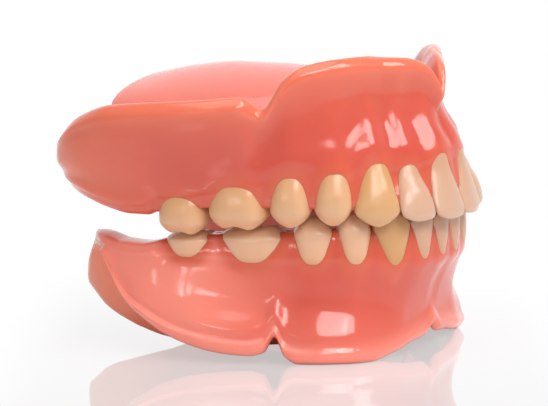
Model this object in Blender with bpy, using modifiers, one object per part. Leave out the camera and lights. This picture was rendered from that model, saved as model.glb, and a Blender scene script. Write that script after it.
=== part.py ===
"""Full denture: an upper and a lower plate of pink resin closed in the bite, fourteen teeth in each.

The front teeth look towards -Y, the wearer's right side is at -X and the lower plate stands on z = 0.
Heights and offsets below are in millimetres; the mesh is written in metres.
"""
import math

import bmesh
import bpy
import numpy as np

MM = 0.001

# Sizes of the set
ARCH_WIDTH = 58.6        # across the contact line at the back of the upper second molars
ARCH_DEPTH = 41.2        # from the upper front teeth to the back of the second molars
FLANGE_RISE = 19.0       # height of the upper flange over z = 30, where the roots end
PALATE_THICKNESS = 2.5
FLANGE_THICKNESS = 2.9
CONTACT_GAP = 0.40       # daylight between two neighbouring teeth
BOND_GAP = 0.16          # film of bonding resin between a tooth and its socket
NECK_COVER = 0.35        # how far the gum stands proud of a tooth at its neck
Y_CENTRE = 30.98         # what is taken off y so that the origin lies under the middle

# Plan of the contact line of the right half, measured back from the upper front teeth
UPPER_PLAN = ((0.0, 0.0), (8.0, 1.2), (14.2, 4.4), (19.6, 10.0), (23.0, 15.8), (25.6, 22.6), (28.1, 32.6),
              (29.3, 41.2), (29.6, 48.0), (28.2, 54.6), (24.6, 59.4), (19.8, 60.8))
LOWER_PLAN = ((0.0, 2.3), (5.0, 2.7), (10.0, 4.5), (14.9, 9.0), (18.5, 13.9), (21.4, 20.6), (25.1, 32.4),
              (27.0, 41.2), (27.2, 46.6), (26.3, 51.8), (24.8, 56.4), (22.2, 63.9))
UPPER_END = 11           # point of the plan where the upper plate ends
LOWER_END = 10           # point of the plan where the pad of the lower plate ends

# Heights along a crown, from inside the socket (-0.25) over the neck (0) to the tip (1)
LEVELS = (-0.25, 0.0, 0.25, 0.5, 0.75, 0.9, 1.0)

# name, kind, shade, tip height, neck height, outer face, inner face, width share at each level
UPPER_TEETH = (
    ("central_incisor", "incisor", "front", 22.6, 33.3,
     (-6.4, -1.9, -1.2, -0.2, 0.6, 1.0, 0.7), (-9.6, -8.2, -6.9, -4.6, -2.3, -1.0, -0.2),
     (0.60, 0.76, 0.88, 0.95, 0.99, 1.0, 0.94)),
    ("lateral_incisor", "incisor", "front", 22.9, 31.7,
     (-7.2, -2.9, -1.6, -0.1, 0.7, 0.9, 0.5), (-8.8, -7.4, -6.3, -4.2, -2.1, -1.0, -0.3),
     (0.62, 0.82, 0.93, 0.98, 1.0, 0.99, 0.92)),
    ("canine", "canine", "canine", 22.4, 32.2,
     (-5.8, -2.0, -0.6, 0.6, 1.2, 1.0, 0.3), (-7.6, -7.6, -6.9, -5.2, -3.0, -1.5, -0.5),
     (0.62, 0.80, 0.92, 0.98, 1.0, 0.98, 0.86)),
    ("first_premolar", "upper_premolar", "back", 22.2, 31.0,
     (-1.4, 0.2, 1.2, 1.8, 1.6, 1.3, 1.1), (-6.4, -7.3, -7.7, -7.8, -7.3, -7.0, -6.8),
     (0.68, 0.82, 0.93, 1.0, 1.0, 0.98, 0.96)),
    ("second_premolar", "upper_premolar", "back", 21.8, 30.3,
     (-1.2, 0.3, 1.3, 1.8, 1.6, 1.3, 1.1), (-6.6, -7.5, -7.9, -8.0, -7.5, -7.2, -7.0),
     (0.68, 0.82, 0.93, 1.0, 1.0, 0.98, 0.96)),
    ("first_molar", "upper_molar", "back", 21.1, 28.7,
     (-0.6, 0.8, 1.6, 2.0, 1.7, 1.4, 1.2), (-7.8, -8.8, -9.3, -9.3, -8.8, -8.5, -8.3),
     (0.76, 0.87, 0.95, 1.0, 1.0, 0.98, 0.96)),
    ("second_molar", "upper_molar", "back", 20.0, 26.6,
     (-0.8, 0.7, 1.5, 1.8, 1.5, 1.2, 1.0), (-7.6, -8.5, -9.0, -9.0, -8.5, -8.2, -8.0),
     (0.76, 0.87, 0.95, 1.0, 1.0, 0.98, 0.96)),
)
LOWER_TEETH = (
    ("central_incisor", "incisor", "front", 23.4, 15.5,
     (-2.4, -0.1, 0.3, 0.45, 0.35, 0.15, -0.1), (-4.6, -5.2, -4.7, -3.4, -1.9, -1.2, -0.8),
     (0.58, 0.68, 0.80, 0.92, 0.98, 1.0, 0.95)),
    ("lateral_incisor", "incisor", "front", 23.4, 15.5,
     (-2.3, 0.0, 0.4, 0.5, 0.4, 0.15, -0.1), (-4.8, -5.4, -4.9, -3.5, -2.0, -1.2, -0.8),
     (0.58, 0.68, 0.80, 0.92, 0.98, 1.0, 0.95)),
    ("canine", "canine", "canine", 24.0, 15.1,
     (-0.9, 0.6, 1.1, 1.2, 0.8, 0.4, 0.0), (-5.4, -6.2, -5.8, -4.5, -2.6, -1.5, -0.7),
     (0.56, 0.66, 0.80, 0.92, 1.0, 0.97, 0.82)),
    ("first_premolar", "lower_premolar", "back", 24.2, 15.7,
     (-0.4, 1.1, 1.7, 1.7, 1.2, 0.9, 0.6), (-5.2, -6.0, -6.3, -6.3, -6.0, -5.8, -5.6),
     (0.56, 0.63, 0.76, 0.90, 1.0, 0.98, 0.96)),
    ("second_premolar", "lower_premolar", "back", 23.4, 15.7,
     (-0.3, 1.2, 1.8, 1.8, 1.3, 1.0, 0.7), (-5.6, -6.4, -6.8, -6.8, -6.4, -6.2, -6.0),
     (0.56, 0.63, 0.76, 0.90, 1.0, 0.98, 0.96)),
    ("first_molar", "lower_molar", "back", 22.2, 15.8,
     (0.0, 1.5, 2.0, 2.0, 1.5, 1.2, 0.9), (-7.2, -8.1, -8.5, -8.5, -8.1, -7.9, -7.7),
     (0.66, 0.74, 0.84, 0.94, 1.0, 0.98, 0.96)),
    ("second_molar", "lower_molar", "back", 21.0, 16.4,
     (0.0, 1.4, 1.9, 1.9, 1.4, 1.1, 0.8), (-6.9, -7.8, -8.2, -8.2, -7.8, -7.6, -7.4),
     (0.66, 0.74, 0.84, 0.94, 1.0, 0.98, 0.96)),
)

# Tips of the gum between the teeth: at the midline, then behind each tooth
UPPER_PAPILLAE = (26.9, 26.2, 25.8, 25.2, 25.4, 25.4, 25.0, 24.0)
LOWER_PAPILLAE = (21.2, 21.3, 21.7, 21.0, 21.0, 20.6, 19.9, 18.9)

# Cusps of the chewing teeth: place along and across the crown (-1 to 1) and height below the tip
CUSPS = {
    "upper_premolar": ((0.0, 0.46, 0.0), (0.0, -0.48, -0.5)),
    "lower_premolar": ((0.0, 0.30, 0.0), (0.0, -0.52, -1.2)),
    "upper_molar": ((-0.44, 0.56, 0.0), (0.46, 0.54, -0.15), (-0.40, -0.50, -1.0), (0.44, -0.46, -1.4)),
    "lower_molar": ((-0.48, 0.40, -0.2), (0.06, 0.42, -0.3), (0.58, 0.32, -0.6), (-0.42, -0.58, -0.8),
                    (0.42, -0.56, -0.9)),
}
CUSP_SLOPE = 0.42
CROWN_WALL = 0.60        # share of a chewing tooth's height where its sides end and the cusps begin

# Upper plate, station by station along the arch
UPPER_STATIONS = (0.0, 1.4, 3.5, 8.0, 15.5, 20.0, 26.0, 31.2, 35.2, 38.6, 41.6, 48.0, 56.0, 63.0, 69.0,
                  74.0, 78.0, 82.0)
UPPER_FORM = {
    "border": (42.9, 45.3, 47.4, 48.4, 48.7, 49.0, 48.8, 48.0, 45.6, 41.0, 43.0, 42.5, 41.9, 41.2, 39.2,
               36.0, 33.3, 31.6),
    "border_n": (-4.8, -5.1, -5.9, -7.1, -7.6, -6.3, -3.6, -1.7, -0.6, -0.3, 1.4, 2.5, 2.9, 2.9, 2.5, 2.2,
                 1.8, 1.4),
    "roll": (1.1, 1.2, 1.3, 1.4, 1.5, 1.6, 1.5, 1.4, 1.3, 1.2, 1.6, 1.8, 1.8, 1.8, 1.7, 1.5, 1.2, 0.9),
    "high_n": (-4.8, -5.1, -5.9, -6.8, -6.9, -5.6, -2.8, -0.8, 0.1, 0.2, 2.1, 3.5, 4.0, 4.2, 4.1, 3.8,
               3.0, 2.2),
    "mid_n": (-3.9, -4.1, -4.7, -5.5, -5.6, -4.4, -2.0, -0.5, 0.2, 0.3, 1.2, 2.0, 2.4, 3.0, 3.6, 3.6, 2.9,
              2.0),
    "low_n": (-2.5, -2.5, -2.7, -3.3, -3.2, -2.0, -0.5, 0.4, 0.6, 0.7, 0.9, 1.2, 1.3, 1.6, 2.3, 2.5, 2.2,
              1.6),
    "trough": (37.2, 37.2, 37.1, 37.0, 36.5, 36.0, 35.2, 34.5, 34.0, 33.6, 33.3, 32.5, 31.3, 30.6, 30.2,
               30.0, 30.0, 30.0),
    "trough_n": (-10.8, -10.9, -11.2, -11.8, -11.3, -9.4, -7.0, -5.5, -4.7, -4.3, -4.0, -3.6, -3.2, -2.8,
                 -2.2, -1.8, -1.4, -1.2),
    "inner_n": (-8.6, -8.6, -8.6, -8.6, -8.9, -9.4, -9.8, -10.0, -10.0, -10.0, -10.1, -10.3, -9.6, -8.0,
                -6.4, -5.4, -4.6, -4.0),
    "wall_n": (-14.6, -14.7, -14.8, -15.2, -14.1, -12.2, -10.2, -8.8, -8.4, -8.2, -8.0, -7.8, -7.0, -6.0,
               -5.0, -4.4, -3.8, -3.4),
    "keel_y": (9.8, 10.1, 10.6, 11.8, 14.0, 16.0, 19.5, 23.0, 25.6, 28.6, 31.4, 37.6, 43.6, 48.4, 51.8,
               54.0, 55.4, 56.4),
}
UPPER_REAR = {"stations": (54.0, 57.0, 61.0, 65.0, 69.0, 74.0, 78.0, 82.0),
              "crest": (24.0, 23.0, 23.0, 23.7, 24.8, 25.8, 26.3, 26.8)}
KEEL_Y = (9.8, 12.0, 15.0, 20.0, 26.0, 34.0, 42.0, 50.0, 58.2)
KEEL_Z = (34.8, 35.5, 37.0, 40.0, 42.4, 43.5, 43.5, 42.7, 40.9)
PALATE_FRONT = 17.6      # where the vault begins on the side that meets the mouth
PALATE_LOBE = 2.2        # how far the back edge of the palate bows back beside the midline

# Lower plate, station by station along the arch
LOWER_STATIONS = (0.0, 3.0, 8.0, 14.0, 18.0, 22.0, 29.4, 31.5, 33.3, 34.9, 37.4, 41.0, 44.0, 48.0, 52.0,
                  56.0, 59.0, 61.5, 64.0, 66.5, 69.0)
LOWER_FORM = {
    "border": (3.7, 2.1, 1.7, 0.7, 0.0, 0.0, 0.0, 1.0, 4.3, 1.8, 1.2, 1.4, 1.8, 2.7, 4.2, 6.7, 8.8, 11.2,
               13.6, 15.8, 16.4),
    "border_n": (-3.7, -3.7, -3.1, -0.8, 1.3, 2.5, 3.3, 3.3, 3.0, 3.5, 3.9, 4.2, 4.1, 3.6, 3.1, 2.6, 2.2,
                 1.8, 1.5, 1.3, 1.2),
    "roll": (1.2, 1.3, 1.4, 1.5, 1.6, 1.7, 1.7, 1.5, 1.2, 1.5, 1.8, 1.9, 1.9, 1.8, 1.7, 1.5, 1.3, 1.2,
             1.0, 0.9, 0.8),
    "high_n": (-3.4, -3.4, -2.8, -0.2, 2.0, 3.2, 4.0, 3.8, 3.4, 4.0, 4.8, 5.2, 5.1, 4.5, 3.9, 3.3, 2.6,
               2.4, 2.2, 2.0, 1.8),
    "mid_n": (-2.8, -2.8, -2.3, -0.9, 0.3, 1.2, 1.7, 1.8, 1.9, 2.1, 2.3, 2.7, 2.9, 3.0, 2.9, 2.7, 2.4,
              2.0, 1.8, 1.5, 1.2),
    "low_n": (-1.2, -1.2, -0.9, 0.0, 0.6, 1.1, 1.4, 1.5, 1.5, 1.6, 1.6, 1.8, 1.9, 1.9, 1.9, 1.9, 1.8, 1.6,
              1.4, 1.2, 1.0),
    "trough": (11.0, 11.0, 11.0, 11.0, 11.0, 11.0, 11.0, 11.0, 11.0, 11.0, 10.9, 10.8, 10.9, 11.3, 11.8,
               12.6, 13.6, 14.6, 15.3, 15.7, 15.8),
    "trough_n": (-5.6, -5.6, -5.3, -4.6, -4.0, -3.6, -3.4, -3.4, -3.4, -3.4, -3.4, -3.4, -3.4, -3.4, -3.3,
                 -3.1, -2.9, -2.7, -2.6, -2.5, -2.4),
    "tongue_border": (5.6, 4.4, 3.2, 2.2, 1.6, 1.2, 0.9, 0.8, 0.7, 0.6, 0.4, 0.0, 0.0, 0.0, 0.1, 0.8, 1.5,
                      2.4, 3.5, 5.2, 8.6),
    "tongue_n": (-9.8, -9.8, -9.5, -9.0, -8.8, -8.7, -8.9, -9.0, -9.1, -9.2, -9.3, -9.7, -10.0, -10.2,
                 -9.9, -8.8, -7.7, -6.8, -6.0, -5.4, -5.0),
    "tongue_mid_n": (-8.8, -8.8, -8.5, -8.2, -8.1, -8.2, -8.6, -8.8, -8.9, -9.0, -9.2, -9.6, -9.9, -10.0,
                     -9.7, -8.8, -7.8, -7.0, -6.4, -5.8, -5.4),
}
NOTCHES = {"upper": (0.43, 0.471, 0.498), "lower": (0.455, 0.4826, 0.508)}
LAG = (-3.4, 7.2)        # how far the cheek side stops short of the pad's end and the tongue side runs past it
LOWER_REAR = {"stations": (50.0, 53.0, 56.0, 60.0, 64.0, 67.0, 69.0),
              "crest": (18.6, 18.6, 18.2, 18.3, 19.1, 19.5, 18.9)}


def curve(knots, values, at):
    """Value of a smooth curve without overshoot through the named stations."""
    k = np.asarray(knots, float)
    v = np.asarray(values, float)
    t = np.clip(np.asarray(at, float), k[0], k[-1])
    step = np.diff(k)
    slope = np.diff(v) / step
    lean = np.zeros(len(k))
    same = slope[:-1] * slope[1:] > 0.0
    lean[1:-1][same] = 2.0 * slope[:-1][same] * slope[1:][same] / (slope[:-1][same] + slope[1:][same])
    lean[-1] = slope[-1]
    i = np.clip(np.searchsorted(k, t, side="right") - 1, 0, len(step) - 1)
    h = step[i]
    u = (t - k[i]) / h
    first = (2 * u**3 - 3 * u**2 + 1) * v[i] + (u**3 - 2 * u**2 + u) * h * lean[i]
    return first + (3 * u**2 - 2 * u**3) * v[i + 1] + (u**3 - u**2) * h * lean[i + 1]


def plan_line(plan):
    """Walk along the arch in plan: (length so far, x, y back, unit outward normal) in fine steps."""
    p = np.array(plan, float)
    p[:, 0] *= ARCH_WIDTH / 58.6
    p[:, 1] *= ARCH_DEPTH / 41.2
    p = np.vstack([[-p[1, 0], p[1, 1]], p, 2 * p[-1] - p[-2]])
    walk = []
    for i in range(1, len(p) - 2):
        for t in np.linspace(0.0, 1.0, 40, endpoint=False):
            a, b, c, d = p[i - 1:i + 3]
            walk.append(0.5 * ((2 * b) + (c - a) * t + (2 * a - 5 * b + 4 * c - d) * t**2
                               + (3 * b - a - 3 * c + d) * t**3))
    walk.append(p[-2])
    walk = np.array(walk)
    length = np.concatenate([[0.0], np.cumsum(np.hypot(*np.diff(walk, axis=0).T))])
    lean = np.gradient(walk, length, axis=0)
    lean[0] = (1.0, 0.0)
    lean /= np.hypot(lean[:, 0], lean[:, 1])[:, None]
    return {"s": length, "x": walk[:, 0], "y": walk[:, 1], "nx": lean[:, 1], "ny": -lean[:, 0]}


def place(line, s, n, z):
    """Point in space from a place along the arch, an offset outwards and a height."""
    s, n, z = np.broadcast_arrays(np.asarray(s, float), np.asarray(n, float), np.asarray(z, float))
    x = np.interp(s, line["s"], line["x"]) + n * np.interp(s, line["s"], line["nx"])
    y = np.interp(s, line["s"], line["y"]) + n * np.interp(s, line["s"], line["ny"])
    return np.stack([x, y, z], axis=-1)


def reach_of(line, plan, mark):
    """Length along the arch to one point of the plan."""
    x, y = plan[mark]
    gap = np.hypot(line["x"] - x * ARCH_WIDTH / 58.6, line["y"] - y * ARCH_DEPTH / 41.2)
    return float(line["s"][int(np.argmin(gap))])


def joints_of(line, plan, count):
    """Lengths along the arch where the teeth meet: the first points of the plan."""
    return [reach_of(line, plan, i) for i in range(count + 1)]


def ring_level(tooth, level):
    """Outer face, inner face and width share of a tooth at a height of its crown."""
    return (float(curve(LEVELS, tooth[5], level)), float(curve(LEVELS, tooth[6], level)),
            float(curve(LEVELS, tooth[7], level)))


def cusp_height(kind, high, along, across, half, deep):
    """Height over the neck of the chewing surface, as the smooth upper hull of the cusps."""
    total = 0.0
    for a, b, drop in CUSPS[kind]:
        far = math.hypot((along - a) * half, (across - b) * deep)
        total += math.exp(3.5 * (high + drop - CUSP_SLOPE * (math.sqrt(far * far + 0.36) - 0.6)))
    return math.log(total) / 3.5


def tooth_rings(tooth, middle, width, grow, turns, walls, tops):
    """Rings of (length, offset, height over the neck) from the socket end to the tip, then the tip point."""
    high = abs(tooth[4] - tooth[3])
    chewing = tooth[1] in CUSPS
    rings = []
    for level in walls:
        out, back, share = ring_level(tooth, level)
        half = width * share / 2.0 + grow
        centre = (out + back) / 2.0
        deep = (out - back) / 2.0 + grow
        power = 2.0 / (2.7 if chewing else 2.3)
        ring = []
        for j in range(turns):
            angle = 2.0 * math.pi * (j + 0.5) / turns
            a = math.copysign(abs(math.cos(angle)) ** power, math.cos(angle))
            b = math.copysign(abs(math.sin(angle)) ** power, math.sin(angle))
            up = level * high
            if level < 0.0:
                up -= grow
            if tooth[1] == "canine" and level > 0.5:
                up -= 1.6 * a * a * (level - 0.5) / 0.5
            if tooth[1] == "incisor" and level > 0.5:
                up -= (0.25 + (0.65 if a > 0 else 0.0)) * abs(a) ** 3 * (level - 0.5) / 0.5
            ring.append((middle + a * half, centre + b * deep, up))
        rings.append(ring)
    if not chewing:
        edge = rings[-1]
        return rings, (middle, sum(q[1] for q in edge) / turns, high + grow)
    out, back, share = ring_level(tooth, CROWN_WALL)
    half = width * share / 2.0
    centre = (out + back) / 2.0
    deep = (out - back) / 2.0
    foot = CROWN_WALL * high
    for reach in tops:
        dome = math.sqrt(1.0 - reach ** 3.2)
        ring = []
        for j in range(turns):
            angle = 2.0 * math.pi * (j + 0.5) / turns
            a = reach * math.copysign(abs(math.cos(angle)) ** power, math.cos(angle))
            b = reach * math.copysign(abs(math.sin(angle)) ** power, math.sin(angle))
            up = foot + (cusp_height(tooth[1], high, a, b, half, deep) - foot) * dome
            ring.append((middle + a * (half + grow), centre + b * (deep + grow), up + grow))
        rings.append(ring)
    return rings, (middle, centre, cusp_height(tooth[1], high, 0.0, 0.0, half, deep) + grow)


def tooth_mesh(line, tooth, start, end, upper, side, grow, turns):
    """Closed loft through the rings of one tooth, with its tip point and a flat socket end."""
    width = end - start - CONTACT_GAP
    middle = (start + end) / 2.0
    chewing = tooth[1] in CUSPS
    walls = (-0.19, 0.02, 0.35, CROWN_WALL) if chewing else (-0.19, 0.02, 0.4, 0.75, 0.94, 1.0)
    tops = (0.84, 0.58, 0.30) if chewing else ()
    rings, tip = tooth_rings(tooth, middle, width, grow, turns, walls, tops)
    flat = [q for ring in rings for q in ring] + [tip]
    q = np.array(flat)
    z = tooth[4] - q[:, 2] if upper else tooth[4] + q[:, 2]
    p = place(line, q[:, 0], q[:, 1], z)
    p[:, 0] *= side
    faces = []
    for i in range(len(rings) - 1):
        for j in range(turns):
            k = (j + 1) % turns
            faces.append((i * turns + j, i * turns + k, (i + 1) * turns + k, (i + 1) * turns + j))
    last = (len(rings) - 1) * turns
    for j in range(turns):
        faces.append((last + j, last + (j + 1) % turns, len(flat) - 1))
    faces.append(tuple(range(turns)))
    return p, faces


def crown_ridge(teeth, papillae, joints, s, upper):
    """The ridge of gum that the crowns grow out of: heights and offsets along the arch, both faces."""
    sign = -1.0 if upper else 1.0
    middles = [(a + b) / 2.0 for a, b in zip(joints[:-1], joints[1:])]
    peak = curve(joints, papillae, s)
    neck = curve(middles, [t[4] for t in teeth], s)
    rows = {"peak": peak, "neck": neck}
    for name, side, level in (("out_neck", 0, 0.0), ("out_peak", 0, 0.6), ("in_neck", 1, 0.12),
                              ("in_peak", 1, 0.6)):
        rows[name] = curve(middles, [ring_level(t, level)[side] for t in teeth], s)
    rows["inner_neck"] = neck + sign * 0.9
    rows["shoulder"] = np.minimum(1.9, 0.33 * (rows["out_peak"] - rows["in_peak"]))
    return rows


def blend(a, b, share):
    return a + (b - a) * share


def upper_sections(line, joints, s, end):
    """Key points of every section of the upper plate: the polished side, then the side that meets the mouth."""
    form = {name: curve(UPPER_STATIONS, row, s * UPPER_STATIONS[-1] / end) for name, row in UPPER_FORM.items()}
    for name in ("border", "trough"):
        form[name] = 30.0 + (form[name] - 30.0) * FLANGE_RISE / 19.0
    ridge = crown_ridge(UPPER_TEETH, UPPER_PAPILLAE, joints, s, True)
    rear = np.clip((s - joints[-1] + 0.4) / 2.4, 0.0, 1.0)
    rear = rear * rear * (3.0 - 2.0 * rear)
    crest = curve(UPPER_REAR["stations"], UPPER_REAR["crest"], s)
    low, middle = form["low_n"], form["trough_n"]
    roll = form["roll"]
    neck = blend(ridge["neck"], crest + 2.2, rear)
    neck = np.minimum(neck, form["border"] - 1.4)
    keel_y = form["keel_y"] * ARCH_DEPTH / 41.2
    keel_z = curve(KEEL_Y, KEEL_Z, form["keel_y"])
    polished = [
        place(line, s, form["border_n"], form["border"]),
        place(line, s, form["border_n"] + roll,
              form["border"] - np.minimum(roll, 0.3 * (form["border"] - neck))),
        place(line, s, form["high_n"], blend(form["border"], neck, 0.36)),
        place(line, s, form["mid_n"], blend(form["border"], neck, 0.62)),
        place(line, s, low, blend(form["border"], neck, 0.85)),
        place(line, s, blend(ridge["out_neck"] + NECK_COVER, low - 0.3, rear), neck),
        place(line, s, blend(ridge["out_peak"] - ridge["shoulder"], low - 1.9, rear),
              blend(ridge["peak"], crest + 0.3, rear)),
        place(line, s, blend(blend(ridge["out_peak"], ridge["in_peak"], 0.5), middle, rear),
              blend(ridge["peak"] + 0.2, crest, rear)),
        place(line, s, blend(ridge["in_peak"] + ridge["shoulder"], middle - 1.6, rear),
              blend(ridge["peak"] + 0.3, crest + 0.4, rear)),
        place(line, s, blend(ridge["in_neck"] - 0.5, form["inner_n"] + 0.2, rear),
              blend(ridge["inner_neck"] - 0.4, crest + 1.8, rear)),
    ]
    palate = place(line, s, form["inner_n"] - blend(0.9, 0.4, rear),
                   blend(ridge["inner_neck"] + 1.2, crest + 2.8, rear))
    keel = np.stack([np.zeros_like(s), keel_y, keel_z], axis=-1)
    squeeze = (KEEL_Y[-1] - PALATE_FRONT) / (KEEL_Y[-1] - KEEL_Y[0])
    over_y = PALATE_FRONT + (form["keel_y"] - KEEL_Y[0]) * squeeze
    over_z = curve(KEEL_Y, KEEL_Z, over_y) + PALATE_THICKNESS
    tissue_keel = np.stack([np.zeros_like(s), over_y * ARCH_DEPTH / 41.2, over_z], axis=-1)
    thick = FLANGE_THICKNESS
    hook = np.minimum(2.4, 0.2 + 0.45 * (form["border"] - form["trough"]))
    wall = place(line, s, form["wall_n"], form["trough"] + hook)
    corner = blend(form["high_n"], low, 0.5) - thick - 1.1
    tissue = [
        place(line, s, form["border_n"], form["border"]),
        place(line, s, form["border_n"] - roll,
              form["border"] - np.minimum(roll, 0.3 * (form["border"] - form["trough"]))),
        place(line, s, form["high_n"] - thick - 0.2, blend(form["border"], form["trough"], 0.42)),
        place(line, s, blend(form["high_n"] - thick - 0.2, corner, 0.6),
              blend(form["border"], form["trough"], 0.66)),
        place(line, s, corner, blend(form["border"], form["trough"], 0.84)),
        place(line, s, blend(corner, middle, 0.50), form["trough"] + 0.15 * hook),
        place(line, s, middle, form["trough"]),
        place(line, s, blend(middle, form["wall_n"], 0.40), form["trough"] + 0.1 * hook),
        place(line, s, blend(middle, form["wall_n"], 0.74), form["trough"] + 0.4 * hook),
        wall,
    ]
    vault = np.interp(s / end, (0.72, 1.0), (0.72, 0.46))
    far_back = np.clip((s / end - 0.72) / 0.28, 0.0, 1.0) ** 1.5
    for share in (0.0, 0.30, 0.66, 1.0):
        bow = math.sin(share * math.pi / 2) ** vault
        if share > 0.0:
            for start, end, rows in ((palate, keel, polished), (wall, tissue_keel, tissue)):
                q = blend(start, end, share)
                q[:, 2] = start[:, 2] + (end[:, 2] - start[:, 2]) * bow
                q[:, 1] += PALATE_LOBE * far_back * math.sin(math.pi * share ** 0.7)
                rows.append(q)
        else:
            polished.append(palate)
            tissue.append(blend(wall, tissue_keel, 0.05))
    return np.array(polished), np.array(tissue)


def lower_sections(line, joints, s, end):
    """Key points of every section of the lower plate, from the cheek border to the tongue border."""
    form = {name: curve(LOWER_STATIONS, row, s * LOWER_STATIONS[-1] / end) for name, row in LOWER_FORM.items()}
    form["trough"] = 16.0 - (16.0 - form["trough"]) * FLANGE_RISE / 19.0
    ridge = crown_ridge(LOWER_TEETH, LOWER_PAPILLAE, joints, s, False)
    rear = np.clip((s - joints[-1] + 0.4) / 2.4, 0.0, 1.0)
    rear = rear * rear * (3.0 - 2.0 * rear)
    crest = curve(LOWER_REAR["stations"], LOWER_REAR["crest"], s)
    low, middle = form["low_n"], form["trough_n"]
    base = form["border"]
    neck = blend(ridge["neck"], np.maximum(crest - 1.6, base + 0.2), rear)
    roll = form["roll"]
    tongue = form["tongue_border"]
    inner = blend(ridge["in_neck"] - 0.5, middle - 2.6, rear)
    inner_z = blend(ridge["inner_neck"] + 0.3, crest - 1.4, rear)
    tail = np.clip((s - 0.82 * end) / (0.18 * end), 0.0, 1.0) ** 1.6

    def run(share, n, z):
        """Point of a section that leans back or forward near the end of the plate."""
        return place(line, s + blend(LAG[0], LAG[1], share) * tail, n, z)

    polished = np.array([
        run(0.0, form["border_n"], base),
        run(0.0, form["border_n"] + roll, base + np.minimum(roll, 0.25 * (neck - base))),
        run(0.0, form["high_n"], blend(base, neck, 0.30)),
        run(0.0, form["mid_n"], blend(base, neck, 0.58)),
        run(0.0, low, blend(base, neck, 0.86)),
        run(0.15, blend(ridge["out_neck"] + NECK_COVER, low - 0.2, rear), neck),
        run(0.35, blend(ridge["out_peak"] - ridge["shoulder"], low - 1.4, rear),
            blend(ridge["peak"], crest - 0.2, rear)),
        run(0.5, blend(blend(ridge["out_peak"], ridge["in_peak"], 0.5), middle, rear),
            blend(ridge["peak"] - 0.2, crest, rear)),
        run(0.6, blend(ridge["in_peak"] + ridge["shoulder"], middle - 1.1, rear),
            blend(ridge["peak"] - 0.3, crest - 0.2, rear)),
        run(0.72, inner, inner_z),
        run(0.88, form["tongue_mid_n"], blend(tongue, inner_z, 0.5)),
        run(1.0, form["tongue_n"] - 0.7 * roll, tongue + np.minimum(roll, 0.25 * (inner_z - tongue))),
        run(1.0, form["tongue_n"], tongue),
    ])
    thick = FLANGE_THICKNESS * blend(0.8, 1.0, np.clip(s / 20.0, 0.0, 1.0))
    trough = form["trough"]
    inside = form["tongue_mid_n"] + 0.78 * thick
    deep = np.clip(0.35 * (trough - base), -0.7, roll)
    far = np.minimum(roll, 0.3 * (trough - tongue))
    corner = form["mid_n"] - thick - 0.1
    tissue = np.array([
        run(0.0, form["border_n"], base),
        run(0.0, form["border_n"] - roll, base + deep),
        run(0.0, form["high_n"] - thick - 0.2, blend(base, trough, 0.36)),
        run(0.0, form["mid_n"] - thick + 0.1, blend(base, trough, 0.66)),
        run(0.0, corner, blend(base, trough, 0.86)),
        run(0.15, blend(corner, middle, 0.40), blend(base, trough, 0.97)),
        run(0.35, blend(corner, middle, 0.75), trough),
        run(0.5, middle, trough),
        run(0.6, blend(middle, inside, 0.45), blend(trough, tongue, 0.02)),
        run(0.72, blend(middle, inside, 0.85), blend(trough, tongue, 0.10)),
        run(0.88, inside, blend(trough, tongue, 0.42)),
        run(1.0, form["tongue_n"] + 0.9 * roll, tongue + far),
        run(1.0, form["tongue_n"], tongue),
    ])
    return polished, tissue


def stations(joints, end, notch):
    """Places of the sections: over each tooth, at the notch for the cheek band, then evenly to the back end."""
    marks = list(notch)
    for a, b in zip(joints[:-1], joints[1:]):
        for share in (0.0, 0.5):
            marks.append(a + (b - a) * share)
    marks = [m for m in marks if m in notch or min(abs(m - n) for n in notch) > 1.1]
    marks += list(np.linspace(joints[-1], end, 7))
    return np.array(sorted(marks))


def plate_mesh(polished, tissue):
    """Half a plate: a sheet for each side, joined at the border, with a rounded back end; open at x = 0."""
    middle = 0.5 * (polished + tissue)
    for column, share in ((-1, 0.45), (-2, 0.85)):
        polished[:, column] = blend(middle[:, column], polished[:, column], share)
        tissue[:, column] = blend(middle[:, column], tissue[:, column], share)
    polished[:, 0, 0] = 0.0
    tissue[:, 0, 0] = 0.0
    return polished, tissue


def sheet_object(name, polished, tissue, material, group):
    """Mesh of a half plate mirrored over x = 0 into one closed body."""
    polished, tissue = plate_mesh(polished, tissue)
    rows, columns, _ = polished.shape
    points = np.concatenate([polished, tissue]).reshape(-1, 3)
    other = rows * columns
    faces = []
    for r in range(rows - 1):
        for c in range(columns - 1):
            a = r * columns + c
            faces.append((a, a + columns, a + columns + 1, a + 1))
            a += other
            faces.append((a, a + 1, a + columns + 1, a + columns))
    for r in range(rows - 1):
        a = r * columns + columns - 1
        faces.append((a, a + columns, other + a + columns, other + a))
    return solid(name, points, faces, material, group, mirrored=True)


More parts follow.
